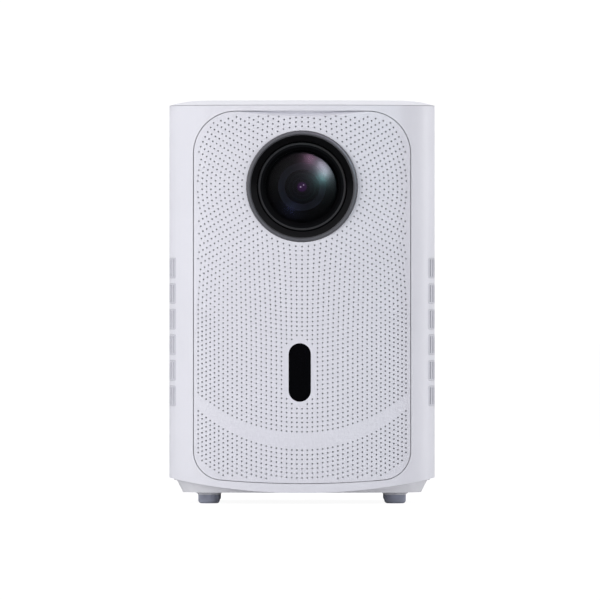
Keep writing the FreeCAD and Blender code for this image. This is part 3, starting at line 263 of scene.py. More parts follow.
bodies = {node: body for body, members in frame["record"]["behaviour"]["bodies"].items() for node in members}


def soften(mesh, crease=28.0):
    """Smooth shading: each corner takes the area-weighted normal of the faces within the crease angle."""
    limit = math.cos(math.radians(crease))
    mesh.polygons.foreach_set("use_smooth", [True] * len(mesh.polygons))
    around_point = [[] for _ in mesh.vertices]
    for face in mesh.polygons:
        for point in face.vertices:
            around_point[point].append(face.index)
    facing = [face.normal.copy() for face in mesh.polygons]
    area = [face.area for face in mesh.polygons]
    normals = []
    for face in mesh.polygons:
        for point in face.vertices:
            blend = Vector((0.0, 0.0, 0.0))
            for other in around_point[point]:
                if facing[other].dot(facing[face.index]) > limit:
                    blend += facing[other] * area[other]
            normals.append(blend.normalized() if blend.length > 0 else facing[face.index])
    mesh.normals_split_custom_set(normals)


def stand_for(name, mesh, node, material):
    """Makes the finished piece that is shown in place of a frame node."""
    piece = bpy.data.objects.new(name, mesh)
    bpy.context.scene.collection.objects.link(piece)
    mesh.materials.clear()
    mesh.materials.append(material)
    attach(piece, bodies[node])
    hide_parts(node)
    return piece


def finished(node, name, material, crease=28.0):
    """A welded, smooth-shaded copy of a frame node that is shown in its place."""
    mesh = frame["nodes"][node].data.copy()
    mesh.name = name
    form = bmesh.new()
    form.from_mesh(mesh)
    bmesh.ops.remove_doubles(form, verts=form.verts, dist=0.002 * MM)
    form.to_mesh(mesh)
    form.free()
    soften(mesh, crease)
    return stand_for(name, mesh, node, material)


shell_white = moulding("shell_white", (0.805, 0.805, 0.85), gloss=0.42)
base_white = moulding("base_white", (0.84, 0.84, 0.86), gloss=0.5)
finished("main_shell", "shell", shell_white)
finished("top_cover", "lid", shell_white)
finished("rear_cover", "back_cover", shell_white)
finished("base_plate", "base_tray", base_white)


# ---------------------------------------------------------------- front panel
# One thin moulding bent to the shell's bow and drilled with some 2600 small holes for the speakers. They lie
# on rings about the lens, and below the rings in rows of the same arc, with a few rows left out as a smile.
def new_tree(name, inputs):
    """An empty geometry tree with its named inputs, and the number of each input's socket."""
    tree = bpy.data.node_groups.new(name, "GeometryNodeTree")
    tree.interface.new_socket("Geometry", in_out="INPUT", socket_type="NodeSocketGeometry")
    identifiers = {}
    for label, kind in inputs.items():
        socket = tree.interface.new_socket(label, in_out="INPUT", socket_type=kind)
        identifiers[label] = socket.identifier
    tree.interface.new_socket("Geometry", in_out="OUTPUT", socket_type="NodeSocketGeometry")
    return tree, identifiers


def grow(name, start_mesh, tree, identifiers, values):
    """Runs a geometry tree on a start mesh with its inputs set, and returns the plain mesh that it makes."""
    seed = bpy.data.objects.new(name + "_seed", start_mesh)
    bpy.context.scene.collection.objects.link(seed)
    modifier = seed.modifiers.new(tree.name, "NODES")
    modifier.node_group = tree
    for label, value in values.items():
        modifier[identifiers[label]] = value
    evaluated = seed.evaluated_get(bpy.context.evaluated_depsgraph_get())
    mesh = bpy.data.meshes.new_from_object(evaluated)
    mesh.name = name
    seed.modifiers.remove(modifier)
    bpy.data.objects.remove(seed)
    return mesh


def arc(centre, radius, start, end, steps):
    """Points on an arc, angles in degrees from +X."""
    return [(centre[0] + radius * math.cos(math.radians(start + (end - start) * i / steps)),
             centre[1] + radius * math.sin(math.radians(start + (end - start) * i / steps)))
            for i in range(steps + 1)]


def loops_mesh(name, loops):
    """Closed outlines in one mesh of edges."""
    points = []
    edges = []
    for loop in loops:
        first = len(points)
        points += [(x, y, 0.0) for x, y in loop]
        edges += [(first + i, first + (i + 1) % len(loop)) for i in range(len(loop))]
    mesh = bpy.data.meshes.new(name)
    mesh.from_pydata(points, edges, [])
    return mesh


def repeat_zone(tree, iterations):
    """A repeat zone that gathers geometry: its start, its end, and the running number."""
    start = tree.nodes.new("GeometryNodeRepeatInput")
    end = tree.nodes.new("GeometryNodeRepeatOutput")
    start.pair_with_output(end)
    tree.links.new(iterations, start.inputs["Iterations"])
    return start, end, start.outputs["Iteration"]


def perforation_tree():
    """Drills, thickens and bends a flat outline, whose origin is on the lens axis."""
    tree, identifiers = new_tree("perforation", {
        "First Ring": "NodeSocketFloat", "Ring Pitch": "NodeSocketFloat", "Rings": "NodeSocketInt",
        "First Count": "NodeSocketInt", "Count Step": "NodeSocketInt", "Row Pitch": "NodeSocketFloat",
        "Rows": "NodeSocketInt", "Plain From": "NodeSocketInt", "Plain Rows": "NodeSocketInt",
        "Hole Radius": "NodeSocketFloat", "Margin": "NodeSocketFloat", "Thickness": "NodeSocketFloat",
        "Front": "NodeSocketFloat", "Lens Height": "NodeSocketFloat", "Bow": "NodeSocketFloat",
        "Corner Start": "NodeSocketFloat", "Corner Radius": "NodeSocketFloat",
        "Corner X": "NodeSocketFloat", "Corner Y": "NodeSocketFloat", "Finish": "NodeSocketMaterial"})
    given = tree.nodes.new("NodeGroupInput").outputs
    quarter = math.radians(-90)

    start, end, number = repeat_zone(tree, given["Rings"])
    count = maths(tree, "MULTIPLY_ADD", number, given["Count Step"])
    tree.links.new(given["First Count"], count.node.inputs[2])
    radius = maths(tree, "MULTIPLY_ADD", number, given["Ring Pitch"])
    tree.links.new(given["First Ring"], radius.node.inputs[2])
    ring = node_in(tree, "GeometryNodeMeshCircle", {"Vertices": count, "Radius": radius}, fill_type="NONE")
    gathered = node_in(tree, "GeometryNodeJoinGeometry", {0: start.outputs["Geometry"]})
    tree.links.new(ring.outputs["Mesh"], gathered.inputs[0])
    tree.links.new(gathered.outputs[0], end.inputs["Geometry"])
    rings = end.outputs["Geometry"]

    last_count = maths(tree, "MULTIPLY_ADD", given["Rings"], given["Count Step"])
    tree.links.new(given["First Count"], last_count.node.inputs[2])
    last_radius = maths(tree, "MULTIPLY_ADD", given["Rings"], given["Ring Pitch"])
    tree.links.new(given["First Ring"], last_radius.node.inputs[2])
    arc_ring = node_in(tree, "GeometryNodeMeshCircle", {"Vertices": last_count, "Radius": last_radius},
                       fill_type="NONE")
    spot = node_in(tree, "ShaderNodeSeparateXYZ", {0: tree.nodes.new("GeometryNodeInputPosition").outputs[0]})
    upper = node_in(tree, "FunctionNodeCompare",
                    {0: spot.outputs["X"], 1: maths(tree, "MULTIPLY", last_radius, math.sqrt(0.5))},
                    data_type="FLOAT", operation="LESS_THAN")
    lower_arc = node_in(tree, "GeometryNodeDeleteGeometry",
                        {"Geometry": arc_ring.outputs["Mesh"], "Selection": upper.outputs["Result"]})
    start, end, number = repeat_zone(tree, given["Rows"])
    drop = maths(tree, "MULTIPLY", number, given["Row Pitch"])
    shifted = node_in(tree, "GeometryNodeTransform",
                      {"Geometry": lower_arc.outputs[0],
                       "Translation": node_in(tree, "ShaderNodeCombineXYZ", {"X": drop}).outputs[0]})
    plain_end = maths(tree, "ADD", given["Plain From"], given["Plain Rows"])
    after = maths(tree, "GREATER_THAN", maths(tree, "ADD", number, 0.5), given["Plain From"])
    before = maths(tree, "LESS_THAN", maths(tree, "ADD", number, 0.5), plain_end)
    row = node_in(tree, "GeometryNodeDeleteGeometry",
                  {"Geometry": shifted.outputs[0], "Selection": maths(tree, "MULTIPLY", after, before)})
    gathered = node_in(tree, "GeometryNodeJoinGeometry", {0: start.outputs["Geometry"]})
    tree.links.new(row.outputs[0], gathered.inputs[0])
    tree.links.new(gathered.outputs[0], end.inputs["Geometry"])
    marks = node_in(tree, "GeometryNodeJoinGeometry", {0: rings})
    tree.links.new(end.outputs["Geometry"], marks.inputs[0])
    turned = node_in(tree, "GeometryNodeTransform",
                     {"Geometry": marks.outputs[0], "Rotation": (0.0, 0.0, quarter)})

    outline = node_in(tree, "GeometryNodeMeshToCurve", {"Mesh": given["Geometry"]}).outputs[0]
    plate = node_in(tree, "GeometryNodeFillCurve", {"Curve": outline}).outputs[0]
    here = tree.nodes.new("GeometryNodeInputPosition").outputs[0]
    above = node_in(tree, "ShaderNodeVectorMath", {0: here, 1: (0.0, 0.0, 0.01)}, operation="ADD").outputs[0]
    ray = node_in(tree, "GeometryNodeRaycast",
                  {"Target Geometry": plate, "Source Position": above, "Ray Direction": (0.0, 0.0, -1.0),
                   "Ray Length": 0.1})
    off_plate = node_in(tree, "FunctionNodeBooleanMath", {0: ray.outputs["Is Hit"]},
                        operation="NOT").outputs[0]
    edge = node_in(tree, "GeometryNodeProximity", {0: given["Geometry"]}, target_element="EDGES")
    near = node_in(tree, "FunctionNodeCompare", {0: edge.outputs["Distance"], 1: given["Margin"]},
                   data_type="FLOAT", operation="LESS_THAN").outputs["Result"]
    unwanted = node_in(tree, "FunctionNodeBooleanMath", {0: off_plate, 1: near}, operation="OR").outputs[0]
    places = node_in(tree, "GeometryNodeDeleteGeometry",
                     {"Geometry": turned.outputs[0], "Selection": unwanted})
    rim = node_in(tree, "GeometryNodeCurvePrimitiveCircle",
                  {"Resolution": 10, "Radius": given["Hole Radius"]})
    rims = node_in(tree, "GeometryNodeInstanceOnPoints",
                   {"Points": places.outputs[0], "Instance": rim.outputs["Curve"]})
    drilled = node_in(tree, "GeometryNodeJoinGeometry", {0: outline})
    tree.links.new(node_in(tree, "GeometryNodeRealizeInstances", {0: rims.outputs[0]}).outputs[0],
                   drilled.inputs[0])
    face = node_in(tree, "GeometryNodeFillCurve", {"Curve": drilled.outputs[0]}).outputs[0]
    raised = node_in(tree, "GeometryNodeExtrudeMesh",
                     {"Mesh": face, "Offset Scale": given["Thickness"], "Individual": False})
    back = node_in(tree, "GeometryNodeFlipFaces", {"Mesh": face})
    block = node_in(tree, "GeometryNodeJoinGeometry", {0: raised.outputs["Mesh"]})
    tree.links.new(back.outputs[0], block.inputs[0])
    solid = node_in(tree, "GeometryNodeMergeByDistance",
                    {"Geometry": block.outputs[0], "Distance": 0.001 * MM})

    flat = node_in(tree, "ShaderNodeSeparateXYZ", {0: tree.nodes.new("GeometryNodeInputPosition").outputs[0]})
    across = maths(tree, "ABSOLUTE", flat.outputs["X"])

    def circle_depth(radius, offset):
        """Depth of a circle's near side below its centre: the root of radius squared less offset squared."""
        squares = maths(tree, "SUBTRACT", maths(tree, "MULTIPLY", radius, radius),
                        maths(tree, "MULTIPLY", offset, offset))
        return maths(tree, "SQRT", squares)

    bow_centre = maths(tree, "ADD", given["Front"], given["Bow"])
    bowed = maths(tree, "SUBTRACT", bow_centre, circle_depth(given["Bow"], across))
    past = maths(tree, "SUBTRACT", across, given["Corner X"])
    rounded = maths(tree, "SUBTRACT", given["Corner Y"], circle_depth(given["Corner Radius"], past))
    in_corner = maths(tree, "GREATER_THAN", across, given["Corner Start"])
    surface = node_in(tree, "ShaderNodeMix", {0: in_corner, 2: bowed, 3: rounded},
                      data_type="FLOAT").outputs[0]
    from_back = maths(tree, "SUBTRACT", given["Thickness"], flat.outputs["Z"])
    placed = node_in(tree, "ShaderNodeCombineXYZ",
                     {"X": flat.outputs["X"], "Y": maths(tree, "ADD", surface, from_back),
                      "Z": maths(tree, "ADD", flat.outputs["Y"], given["Lens Height"])})
    bent = node_in(tree, "GeometryNodeSetPosition",
                   {"Geometry": solid.outputs[0], "Position": placed.outputs[0]})
    plain = node_in(tree, "GeometryNodeRealizeInstances", {0: bent.outputs[0]})
    finish = node_in(tree, "GeometryNodeSetMaterial",
                     {"Geometry": plain.outputs[0], "Material": given["Finish"]})
    result = tree.nodes.new("NodeGroupOutput")
    tree.links.new(finish.outputs[0], result.inputs[0])
    return tree, identifiers


panel_low, panel_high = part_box("front_grille")
lens_low, lens_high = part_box("front_lens")
lens_height = (lens_low.z + lens_high.z) / 2
shell_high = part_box("main_shell")[1]
bow_radius = 180.0 * MM
corner_radius = 28.0 * MM
panel_front = panel_low.y
corner_x = shell_high.x - corner_radius
corner_y = panel_front + bow_radius - math.sqrt((bow_radius - corner_radius) ** 2 - corner_x ** 2)
corner_start = corner_x * bow_radius / (bow_radius - corner_radius)
panel_half = panel_high.x
panel_thickness = 2.4 * MM
panel_sag = 500.0 * MM
top_corner = 22.0 * MM
bottom_corner = 15.0 * MM
hood_radius = 29.1 * MM
window_low, window_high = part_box("sensor_window")
window_x = (window_low.x + window_high.x) / 2
window_z = (window_low.z + window_high.z) / 2 - lens_height
window_flange = 1.4 * MM
window_half = (window_high.x - window_low.x) / 2 - window_flange
window_reach = (window_high.z - window_low.z) / 2 - window_flange - window_half

top = panel_high.z - lens_height
bottom = panel_low.z - lens_height
sag_centre = bottom + panel_sag
inner_sag = panel_sag - bottom_corner
low_x = panel_half - bottom_corner
low_y = sag_centre - math.sqrt(inner_sag ** 2 - low_x ** 2)
low_angle = math.degrees(math.atan2(low_x, sag_centre - low_y))
outline = (arc((panel_half - top_corner, top - top_corner), top_corner, 0, 90, 16)
           + arc((top_corner - panel_half, top - top_corner), top_corner, 90, 180, 16)
           + arc((-low_x, low_y), bottom_corner, 180, 270 - low_angle, 14)
           + arc((0, sag_centre), panel_sag, 270 - low_angle, 270 + low_angle, 40)[1:-1]
           + arc((low_x, low_y), bottom_corner, 270 + low_angle, 360, 14))
lens_cut = arc((0, 0), hood_radius, 0, 360 - 360 / 96, 95)
window_cut = (arc((window_x, window_z + window_reach), window_half, 0, 180, 16)
              + arc((window_x, window_z - window_reach), window_half, 180, 360, 16))
panel_white = moulding("panel_white", (0.78, 0.78, 0.83), gloss=0.42)
tree, identifiers = perforation_tree()
flat_panel = loops_mesh("panel_outline", [outline, lens_cut, window_cut])
panel_mesh = grow("front_panel", flat_panel, tree, identifiers, {
    "First Ring": 31.3 * MM, "Ring Pitch": 2.307 * MM, "Rings": 22, "First Count": 60, "Count Step": 6,
    "Row Pitch": 2.40 * MM, "Rows": 34, "Plain From": 20, "Plain Rows": 3, "Hole Radius": 0.44 * MM,
    "Margin": 2.1 * MM, "Thickness": panel_thickness, "Front": panel_front, "Lens Height": lens_height,
    "Bow": bow_radius, "Corner Start": corner_start, "Corner Radius": corner_radius, "Corner X": corner_x,
    "Corner Y": corner_y, "Finish": panel_white})
soften(panel_mesh)
stand_for("front_panel", panel_mesh, "front_grille", panel_white)


# ---------------------------------------------------------------- acoustic cloth and its frame
# A light grey woven cloth glued to the back of the panel keeps dust out of the speakers. The white frame
# behind it clamps the panel's edge.
def woven_cloth():
    material = bpy.data.materials.new("woven_cloth")
    material.use_nodes = True
    tree = material.node_tree
    shader = tree.nodes["Principled BSDF"]
    thread_pitch = 0.22 * MM
    unit_wave = 0.314            # metres between the bands of a wave texture of scale 1
    place = node_in(tree, "ShaderNodeTexCoord")
    threads = []
    for axis in ("X", "Z"):
        bands = node_in(tree, "ShaderNodeTexWave",
                        {"Vector": place.outputs["Object"], "Scale": unit_wave / thread_pitch},
                        wave_type="BANDS", bands_direction=axis, wave_profile="SIN")
        threads.append(bands.outputs["Fac"])
    weave = maths(tree, "MAXIMUM", threads[0], threads[1])
    shade = node_in(tree, "ShaderNodeMix", {"Factor": weave}, data_type="RGBA")
    shade.inputs[6].default_value = (0.30, 0.30, 0.32, 1.0)
    shade.inputs[7].default_value = (0.62, 0.62, 0.65, 1.0)
    relief = node_in(tree, "ShaderNodeBump", {"Strength": 0.6, "Distance": 0.05 * MM, "Height": weave})
    tree.links.new(shade.outputs[2], shader.inputs["Base Color"])
    tree.links.new(relief.outputs["Normal"], shader.inputs["Normal"])
    shader.inputs["Roughness"].default_value = 0.95
    shader.inputs["Sheen Weight"].default_value = 0.2
    return material


dress("acoustic_mesh", woven_cloth())
frame_white = moulding("frame_white", (0.70, 0.70, 0.73), gloss=0.5)
dress("grille_frame", frame_white)


# ---------------------------------------------------------------- lens trim ring and hood
# A turned ring with a dark satin coat caps the panel's hole. Behind it a black cone funnels in to the
# barrel; both clip into the panel.
ring_grey = moulding("ring_grey", (0.15, 0.15, 0.162), gloss=0.42, grain_size=0.2 * MM,
                     grain_depth=0.006 * MM, Metallic=0.3)
finished("lens_trim_ring", "trim_ring", ring_grey, crease=40.0)
hood_black = moulding("hood_black", (0.0028, 0.0028, 0.0035), gloss=0.3, grain_size=0.15 * MM,
                      grain_depth=0.004 * MM, Specular_IOR_Level=0.45)
finished("lens_hood", "hood", hood_black, crease=40.0)


# ---------------------------------------------------------------- lens barrel and its retaining ring
# Black glass-filled polymer, turned true after moulding. The inner faces carry fine anti-glare steps, and the
# retaining ring screws down on the front glass.
def turned_black():
    """Black polymer with fine turned steps about the lens axis."""
    steps_per_metre = 1100
    material = moulding("turned_black", (0.004, 0.004, 0.005), gloss=0.6, grain_depth=0.003 * MM,
                        Specular_IOR_Level=0.12)
    tree = material.node_tree
    shader = tree.nodes["Principled BSDF"]
    place = node_in(tree, "ShaderNodeTexCoord")
    spot = node_in(tree, "ShaderNodeSeparateXYZ", {0: place.outputs["Object"]})
    steps = maths(tree, "SINE", maths(tree, "MULTIPLY", spot.outputs["Y"], 2 * math.pi * steps_per_metre))
    relief = node_in(tree, "ShaderNodeBump", {"Strength": 0.15, "Distance": 0.03 * MM, "Height": steps})
    tree.links.new(relief.outputs["Normal"], shader.inputs["Normal"])
    return material


barrel_black = turned_black()
barrel = finished("lens_barrel", "barrel", barrel_black, crease=40.0)
# Two lighter copies of the barrel's black, which are painted light. The grey on the inner cone's faces stands
# in for the haze that lights the cone, and the faint grey on the front rim's face is a painted highlight on
# the step's edge.
painted_cone_light = moulding("painted_cone_light", (0.13, 0.14, 0.165), gloss=0.5, grain_depth=0.004 * MM)
painted_rim_highlight = moulding("painted_rim_highlight", (0.035, 0.033, 0.034), gloss=0.4, grain_depth=0.002 * MM)
barrel.data.materials.append(painted_cone_light)
barrel.data.materials.append(painted_rim_highlight)
barrel_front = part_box("lens_barrel")[0].y
cone_outer = 12.55 * MM
cone_inner = 8.9 * MM
cone_end = 17.5 * MM
rim_inner = 21.7 * MM
rim_depth = 0.1 * MM
# The inner cone's faces take the painted light, and the front rim's outer band takes the painted highlight.
for face in barrel.data.polygons:
    middle = face.center
    from_axis = math.hypot(middle.x, middle.z - lens_height)
    behind_mouth = middle.y - barrel_front
    if cone_inner < from_axis < cone_outer and 0 < behind_mouth < cone_end and face.normal.y < -0.3:
        face.material_index = 1
    if from_axis > rim_inner and behind_mouth < rim_depth and face.normal.y < -0.9:
        face.material_index = 2
edge_black = moulding("edge_black", (0.002, 0.002, 0.0025), gloss=0.5, grain_depth=0.002 * MM,
                      Specular_IOR_Level=0.1)
finished("lens_retaining_ring", "retaining_ring", edge_black, crease=40.0)


# ---------------------------------------------------------------- lens glasses
# Three coated glasses. The front coat throws violet and green reflections of the lamps and lets the rest
# through;
# the middle glass glows with a painted reflection: a violet pupil, faint rings and two painted glints. The
# front glass is held by the retaining ring, the middle one by the stop, and the rear one by its bore.
def coated_glass(name, tint, coat, coat_blur=0.27):
    """Glass whose outer face may carry a coat that throws the reflections."""
    material = bpy.data.materials.new(name)
    material.use_nodes = True
    shader = material.node_tree.nodes["Principled BSDF"]
    shader.inputs["Base Color"].default_value = (*tint, 1.0)
    shader.inputs["Metallic"].default_value = 0.0
    shader.inputs["Roughness"].default_value = 0.0
    shader.inputs["IOR"].default_value = 1.01
    shader.inputs["Transmission Weight"].default_value = 1.0
    shader.inputs["Coat Weight"].default_value = coat
    shader.inputs["Coat Roughness"].default_value = coat_blur
    shader.inputs["Coat IOR"].default_value = 1.55
    return material


def glass_with_painted_reflections(name, tint):
    """Inner glass with painted reflections: its emission paints faint rings, a violet pupil and two glints,
    standing in for its coats reflecting each other.
    """
    material = coated_glass(name, tint, 0.0)
    tree = material.node_tree
    shader = tree.nodes["Principled BSDF"]
    place = node_in(tree, "ShaderNodeTexCoord")
    from_axis = node_in(tree, "ShaderNodeVectorMath",
                        {0: place.outputs["Object"], 1: (0.0, 0.0, lens_height)}, operation="SUBTRACT")
    flat = node_in(tree, "ShaderNodeVectorMath", {0: from_axis.outputs[0], 1: (1.0, 0.0, 1.0)},
                   operation="MULTIPLY")
    radius = node_in(tree, "ShaderNodeVectorMath", {0: flat.outputs[0]}, operation="LENGTH").outputs["Value"]
    # The emission ramp is a painted reflection: a violet pupil and faint rings fixed about the lens axis.
    ramp_reach = 9.0 * MM
    share = maths(tree, "DIVIDE", radius, ramp_reach)
    rings = node_in(tree, "ShaderNodeValToRGB", {"Fac": share})
    ramp = rings.color_ramp
    ramp.elements[0].position = 0.0
    ramp.elements[0].color = (0.030, 0.006, 0.040, 1.0)
    ramp.elements[1].position = 1.0
    ramp.elements[1].color = (0.001, 0.001, 0.0015, 1.0)
    for position, colour in ((0.24, (0.028, 0.007, 0.036)), (0.31, (0.003, 0.002, 0.004)),
                             (0.49, (0.002, 0.002, 0.003)), (0.52, (0.008, 0.008, 0.012)),
                             (0.56, (0.002, 0.002, 0.003)), (0.73, (0.002, 0.002, 0.003)),
                             (0.76, (0.007, 0.010, 0.010)), (0.80, (0.001, 0.001, 0.002))):
        element = ramp.elements.new(position)
        element.color = (*colour, 1.0)
    painted_glow = rings.outputs["Color"]
    # Two small emissive spots fixed on the glass are painted glints, highlights that stay put.
    for across, up, painted_glint_radius in ((-0.75, -0.05, 0.55), (0.80, 0.95, 0.45)):
        spot = (across * MM, 0.0, lens_height + up * MM)
        level = node_in(tree, "ShaderNodeVectorMath", {0: place.outputs["Object"], 1: (1.0, 0.0, 1.0)},
                        operation="MULTIPLY")
        away = node_in(tree, "ShaderNodeVectorMath", {0: level.outputs[0], 1: spot}, operation="DISTANCE")
        painted_glint = node_in(tree, "ShaderNodeMapRange",
                        {"Value": away.outputs["Value"], "From Min": painted_glint_radius * MM, "From Max": 0.0})
        painted_glint_mix = node_in(tree, "ShaderNodeMix", {"Factor": painted_glint.outputs["Result"]}, data_type="RGBA")
        tree.links.new(painted_glow, painted_glint_mix.inputs[6])
        painted_glint_mix.inputs[7].default_value = (0.60, 0.46, 0.60, 1.0)
        painted_glow = painted_glint_mix.outputs[2]
    tree.links.new(painted_glow, shader.inputs["Emission Color"])
    shader.inputs["Emission Strength"].default_value = 1.0
    return material


def glass_piece(node, name, outer, inner):
    """A glass whose front cap has its own coated finish."""
    piece = finished(node, name, outer, crease=40.0)
    piece.data.materials.append(inner)
    low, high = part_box(node)
    for face in piece.data.polygons:
        if face.normal.y > -0.3 or face.center.y > (low.y + high.y) / 2:
            face.material_index = 1
    return piece


inner_face = coated_glass("inner_face", (0.70, 0.74, 0.85), 0.0)
front_coating = coated_glass("front_coating", (0.85, 0.88, 0.95), 0.8)
# The middle glass carries the painted violet pupil, rings and glints as emission.
painted_violet_glow = glass_with_painted_reflections("painted_violet_glow", (0.12, 0.08, 0.16))
dark_coating = coated_glass("dark_coating", (0.30, 0.22, 0.36), 0.0)
glass_piece("front_lens", "front_glass", front_coating, inner_face)
glass_piece("middle_lens", "middle_glass", painted_violet_glow, inner_face)
glass_piece("rear_lens", "rear_glass", dark_coating, inner_face)


# ---------------------------------------------------------------- sensor window and its board
# A pill of gloss black polymer that passes infrared, over the focus camera and distance sensor. Its flange
# is glued behind the panel.
window_gloss = moulding("window_gloss", (0.0015, 0.0015, 0.0022), gloss=0.08, grain_depth=0.0,
                        drift=0.0, Specular_IOR_Level=0.2)
finished("sensor_window", "window", window_gloss, crease=40.0)


def board(name, mask_colour):
    """A circuit board: solder mask over a maze of copper, with pale pads."""
    material = bpy.data.materials.new(name)
    material.use_nodes = True
    tree = material.node_tree
    shader = tree.nodes["Principled BSDF"]
    track_pitch = 1.2 * MM
    place = node_in(tree, "ShaderNodeTexCoord")
    tracks = node_in(tree, "ShaderNodeTexVoronoi",
                     {"Vector": place.outputs["Object"], "Scale": 0.4 / track_pitch, "Randomness": 0.6},
                     feature="F1", distance="MANHATTAN")
    lines_per_cell = 22.0
    lines = maths(tree, "SINE", maths(tree, "MULTIPLY", tracks.outputs["Distance"], lines_per_cell))
    copper = node_in(tree, "ShaderNodeMapRange", {"Value": lines, "From Min": 0.2, "From Max": 0.4})
    colour = node_in(tree, "ShaderNodeMix", {"Factor": copper.outputs["Result"]}, data_type="RGBA")
    colour.inputs[6].default_value = (*mask_colour, 1.0)
    colour.inputs[7].default_value = (*[2.2 * part for part in mask_colour], 1.0)
    relief = node_in(tree, "ShaderNodeBump",
                     {"Strength": 0.5, "Distance": 0.03 * MM, "Height": copper.outputs["Result"]})
    tree.links.new(colour.outputs[2], shader.inputs["Base Color"])
    tree.links.new(relief.outputs["Normal"], shader.inputs["Normal"])
    shader.inputs["Roughness"].default_value = 0.3
    return material


green_board = board("green_board", (0.012, 0.075, 0.035))
for node in ("sensor_board", "button_board", "main_board", "power_board"):
    dress(node, green_board)


# ---------------------------------------------------------------- side vents
# Louvred inserts snapped into the side openings, in a darker copy of the shell's polymer: painted shade for
# the shadow among the louvres.
vent_painted_shade = moulding("vent_painted_shade", (0.66, 0.66, 0.71), gloss=0.48)
finished("side_vent_left", "vent_left", vent_painted_shade)
finished("side_vent_right", "vent_right", vent_painted_shade)


# ---------------------------------------------------------------- power button and its light ring
# A shallow domed button in the middle of the lid on a light spring, inside a milky ring that a lamp under
# it lights.
button_white = moulding("button_white", (0.80, 0.80, 0.845), gloss=0.36)
finished("power_button", "button", button_white)
ring_milky = moulding("ring_milky", (0.68, 0.69, 0.73), gloss=0.2, grain_depth=0.003 * MM,
                      Subsurface_Weight=0.3, Subsurface_Scale=0.002)
finished("button_ring", "light_ring", ring_milky)


# ---------------------------------------------------------------- feet and tripod insert
# Four grey rubber feet push their stems into the base. Between them a turned brass insert takes a tripod's
# screw.
foot_rubber = moulding("foot_rubber", (0.42, 0.44, 0.53), gloss=0.7, grain_size=0.5 * MM,
                       grain_depth=0.05 * MM, drift=0.04)
finished("foot_pads", "feet", foot_rubber)


def brushed_group():
    """Fine scratches: height, and a gloss that breaks up along them. The direction's short side is across."""
    group = bpy.data.node_groups.new("brushed", "ShaderNodeTree")
    direction = group.interface.new_socket("Stretch", in_out="INPUT", socket_type="NodeSocketVector")
    direction.default_value = (1.0, 1.0, 1.0)
    socket_in(group, "NodeSocketFloat", "Gloss", 0.3)
    group.interface.new_socket("Roughness", in_out="OUTPUT", socket_type="NodeSocketFloat")
    group.interface.new_socket("Height", in_out="OUTPUT", socket_type="NodeSocketFloat")
    given = node_in(group, "NodeGroupInput").outputs
    place = node_in(group, "ShaderNodeTexCoord")
    stretched = node_in(group, "ShaderNodeVectorMath",
                        {0: place.outputs["Object"], 1: given["Stretch"]}, operation="MULTIPLY")
    scratches = node_in(group, "ShaderNodeTexNoise",
                        {"Vector": stretched.outputs[0], "Scale": 1.0, "Detail": 4.0, "Roughness": 0.7})
    spread = node_in(group, "ShaderNodeMapRange",
                     {"Value": scratches.outputs["Fac"], "From Min": 0.3, "From Max": 0.7, "To Min": 0.7,
                      "To Max": 1.4})
    gloss = maths(group, "MULTIPLY", spread.outputs["Result"], given["Gloss"])
    node_in(group, "NodeGroupOutput", {"Roughness": gloss, "Height": scratches.outputs["Fac"]})
    return group


brushed = brushed_group()


def metal(name, colour, gloss=0.3, stretch=(900.0, 900.0, 4000.0), depth=0.01 * MM, metallic=1.0):
    """A worked metal face with fine scratches."""
    material = bpy.data.materials.new(name)
    material.use_nodes = True
    tree = material.node_tree
    shader = tree.nodes["Principled BSDF"]
    scratches = node_in(tree, "ShaderNodeGroup", node_tree=brushed)
    scratches.inputs["Stretch"].default_value = stretch
    scratches.inputs["Gloss"].default_value = gloss
    relief = node_in(tree, "ShaderNodeBump",
                     {"Strength": 0.6, "Distance": depth, "Height": scratches.outputs["Height"]})
    tree.links.new(scratches.outputs["Roughness"], shader.inputs["Roughness"])
    tree.links.new(relief.outputs["Normal"], shader.inputs["Normal"])
    shader.inputs["Base Color"].default_value = (*colour, 1.0)
    shader.inputs["Metallic"].default_value = metallic
    return material


insert_brass = metal("insert_brass", (0.70, 0.50, 0.22), gloss=0.28)
finished("tripod_insert", "tripod_insert_piece", insert_brass, crease=40.0)


# ---------------------------------------------------------------- rear sockets and screws
# Plated signal sockets and a black mains inlet stand in the rear cover's cut-outs, soldered to the boards.
# Black-plated screws hold the cover, the base and the lens mount.
socket_plate = metal("socket_plate", (0.62, 0.61, 0.58), gloss=0.26)
socket_black = moulding("socket_black", (0.02, 0.02, 0.022), gloss=0.4)
for node in ("hdmi_socket", "usb_socket"):
    piece = finished(node, node + "_piece", socket_plate)
    piece.data.materials.append(socket_black)
    low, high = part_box(node)
    shell_thickness = 0.62 * MM
    for face in piece.data.polygons:
        middle = face.center
        inside_x = low.x + shell_thickness < middle.x < high.x - shell_thickness
        inside_z = low.z + shell_thickness < middle.z < high.z - shell_thickness
        if inside_x and inside_z and middle.y < high.y - 0.3 * MM:
            face.material_index = 1
finished("audio_socket", "audio_socket_piece", socket_black)
finished("ac_inlet", "mains_inlet_piece", socket_black)
screw_black = metal("screw_black", (0.13, 0.13, 0.14), gloss=0.34)
finished("screws", "screw_set", screw_black)


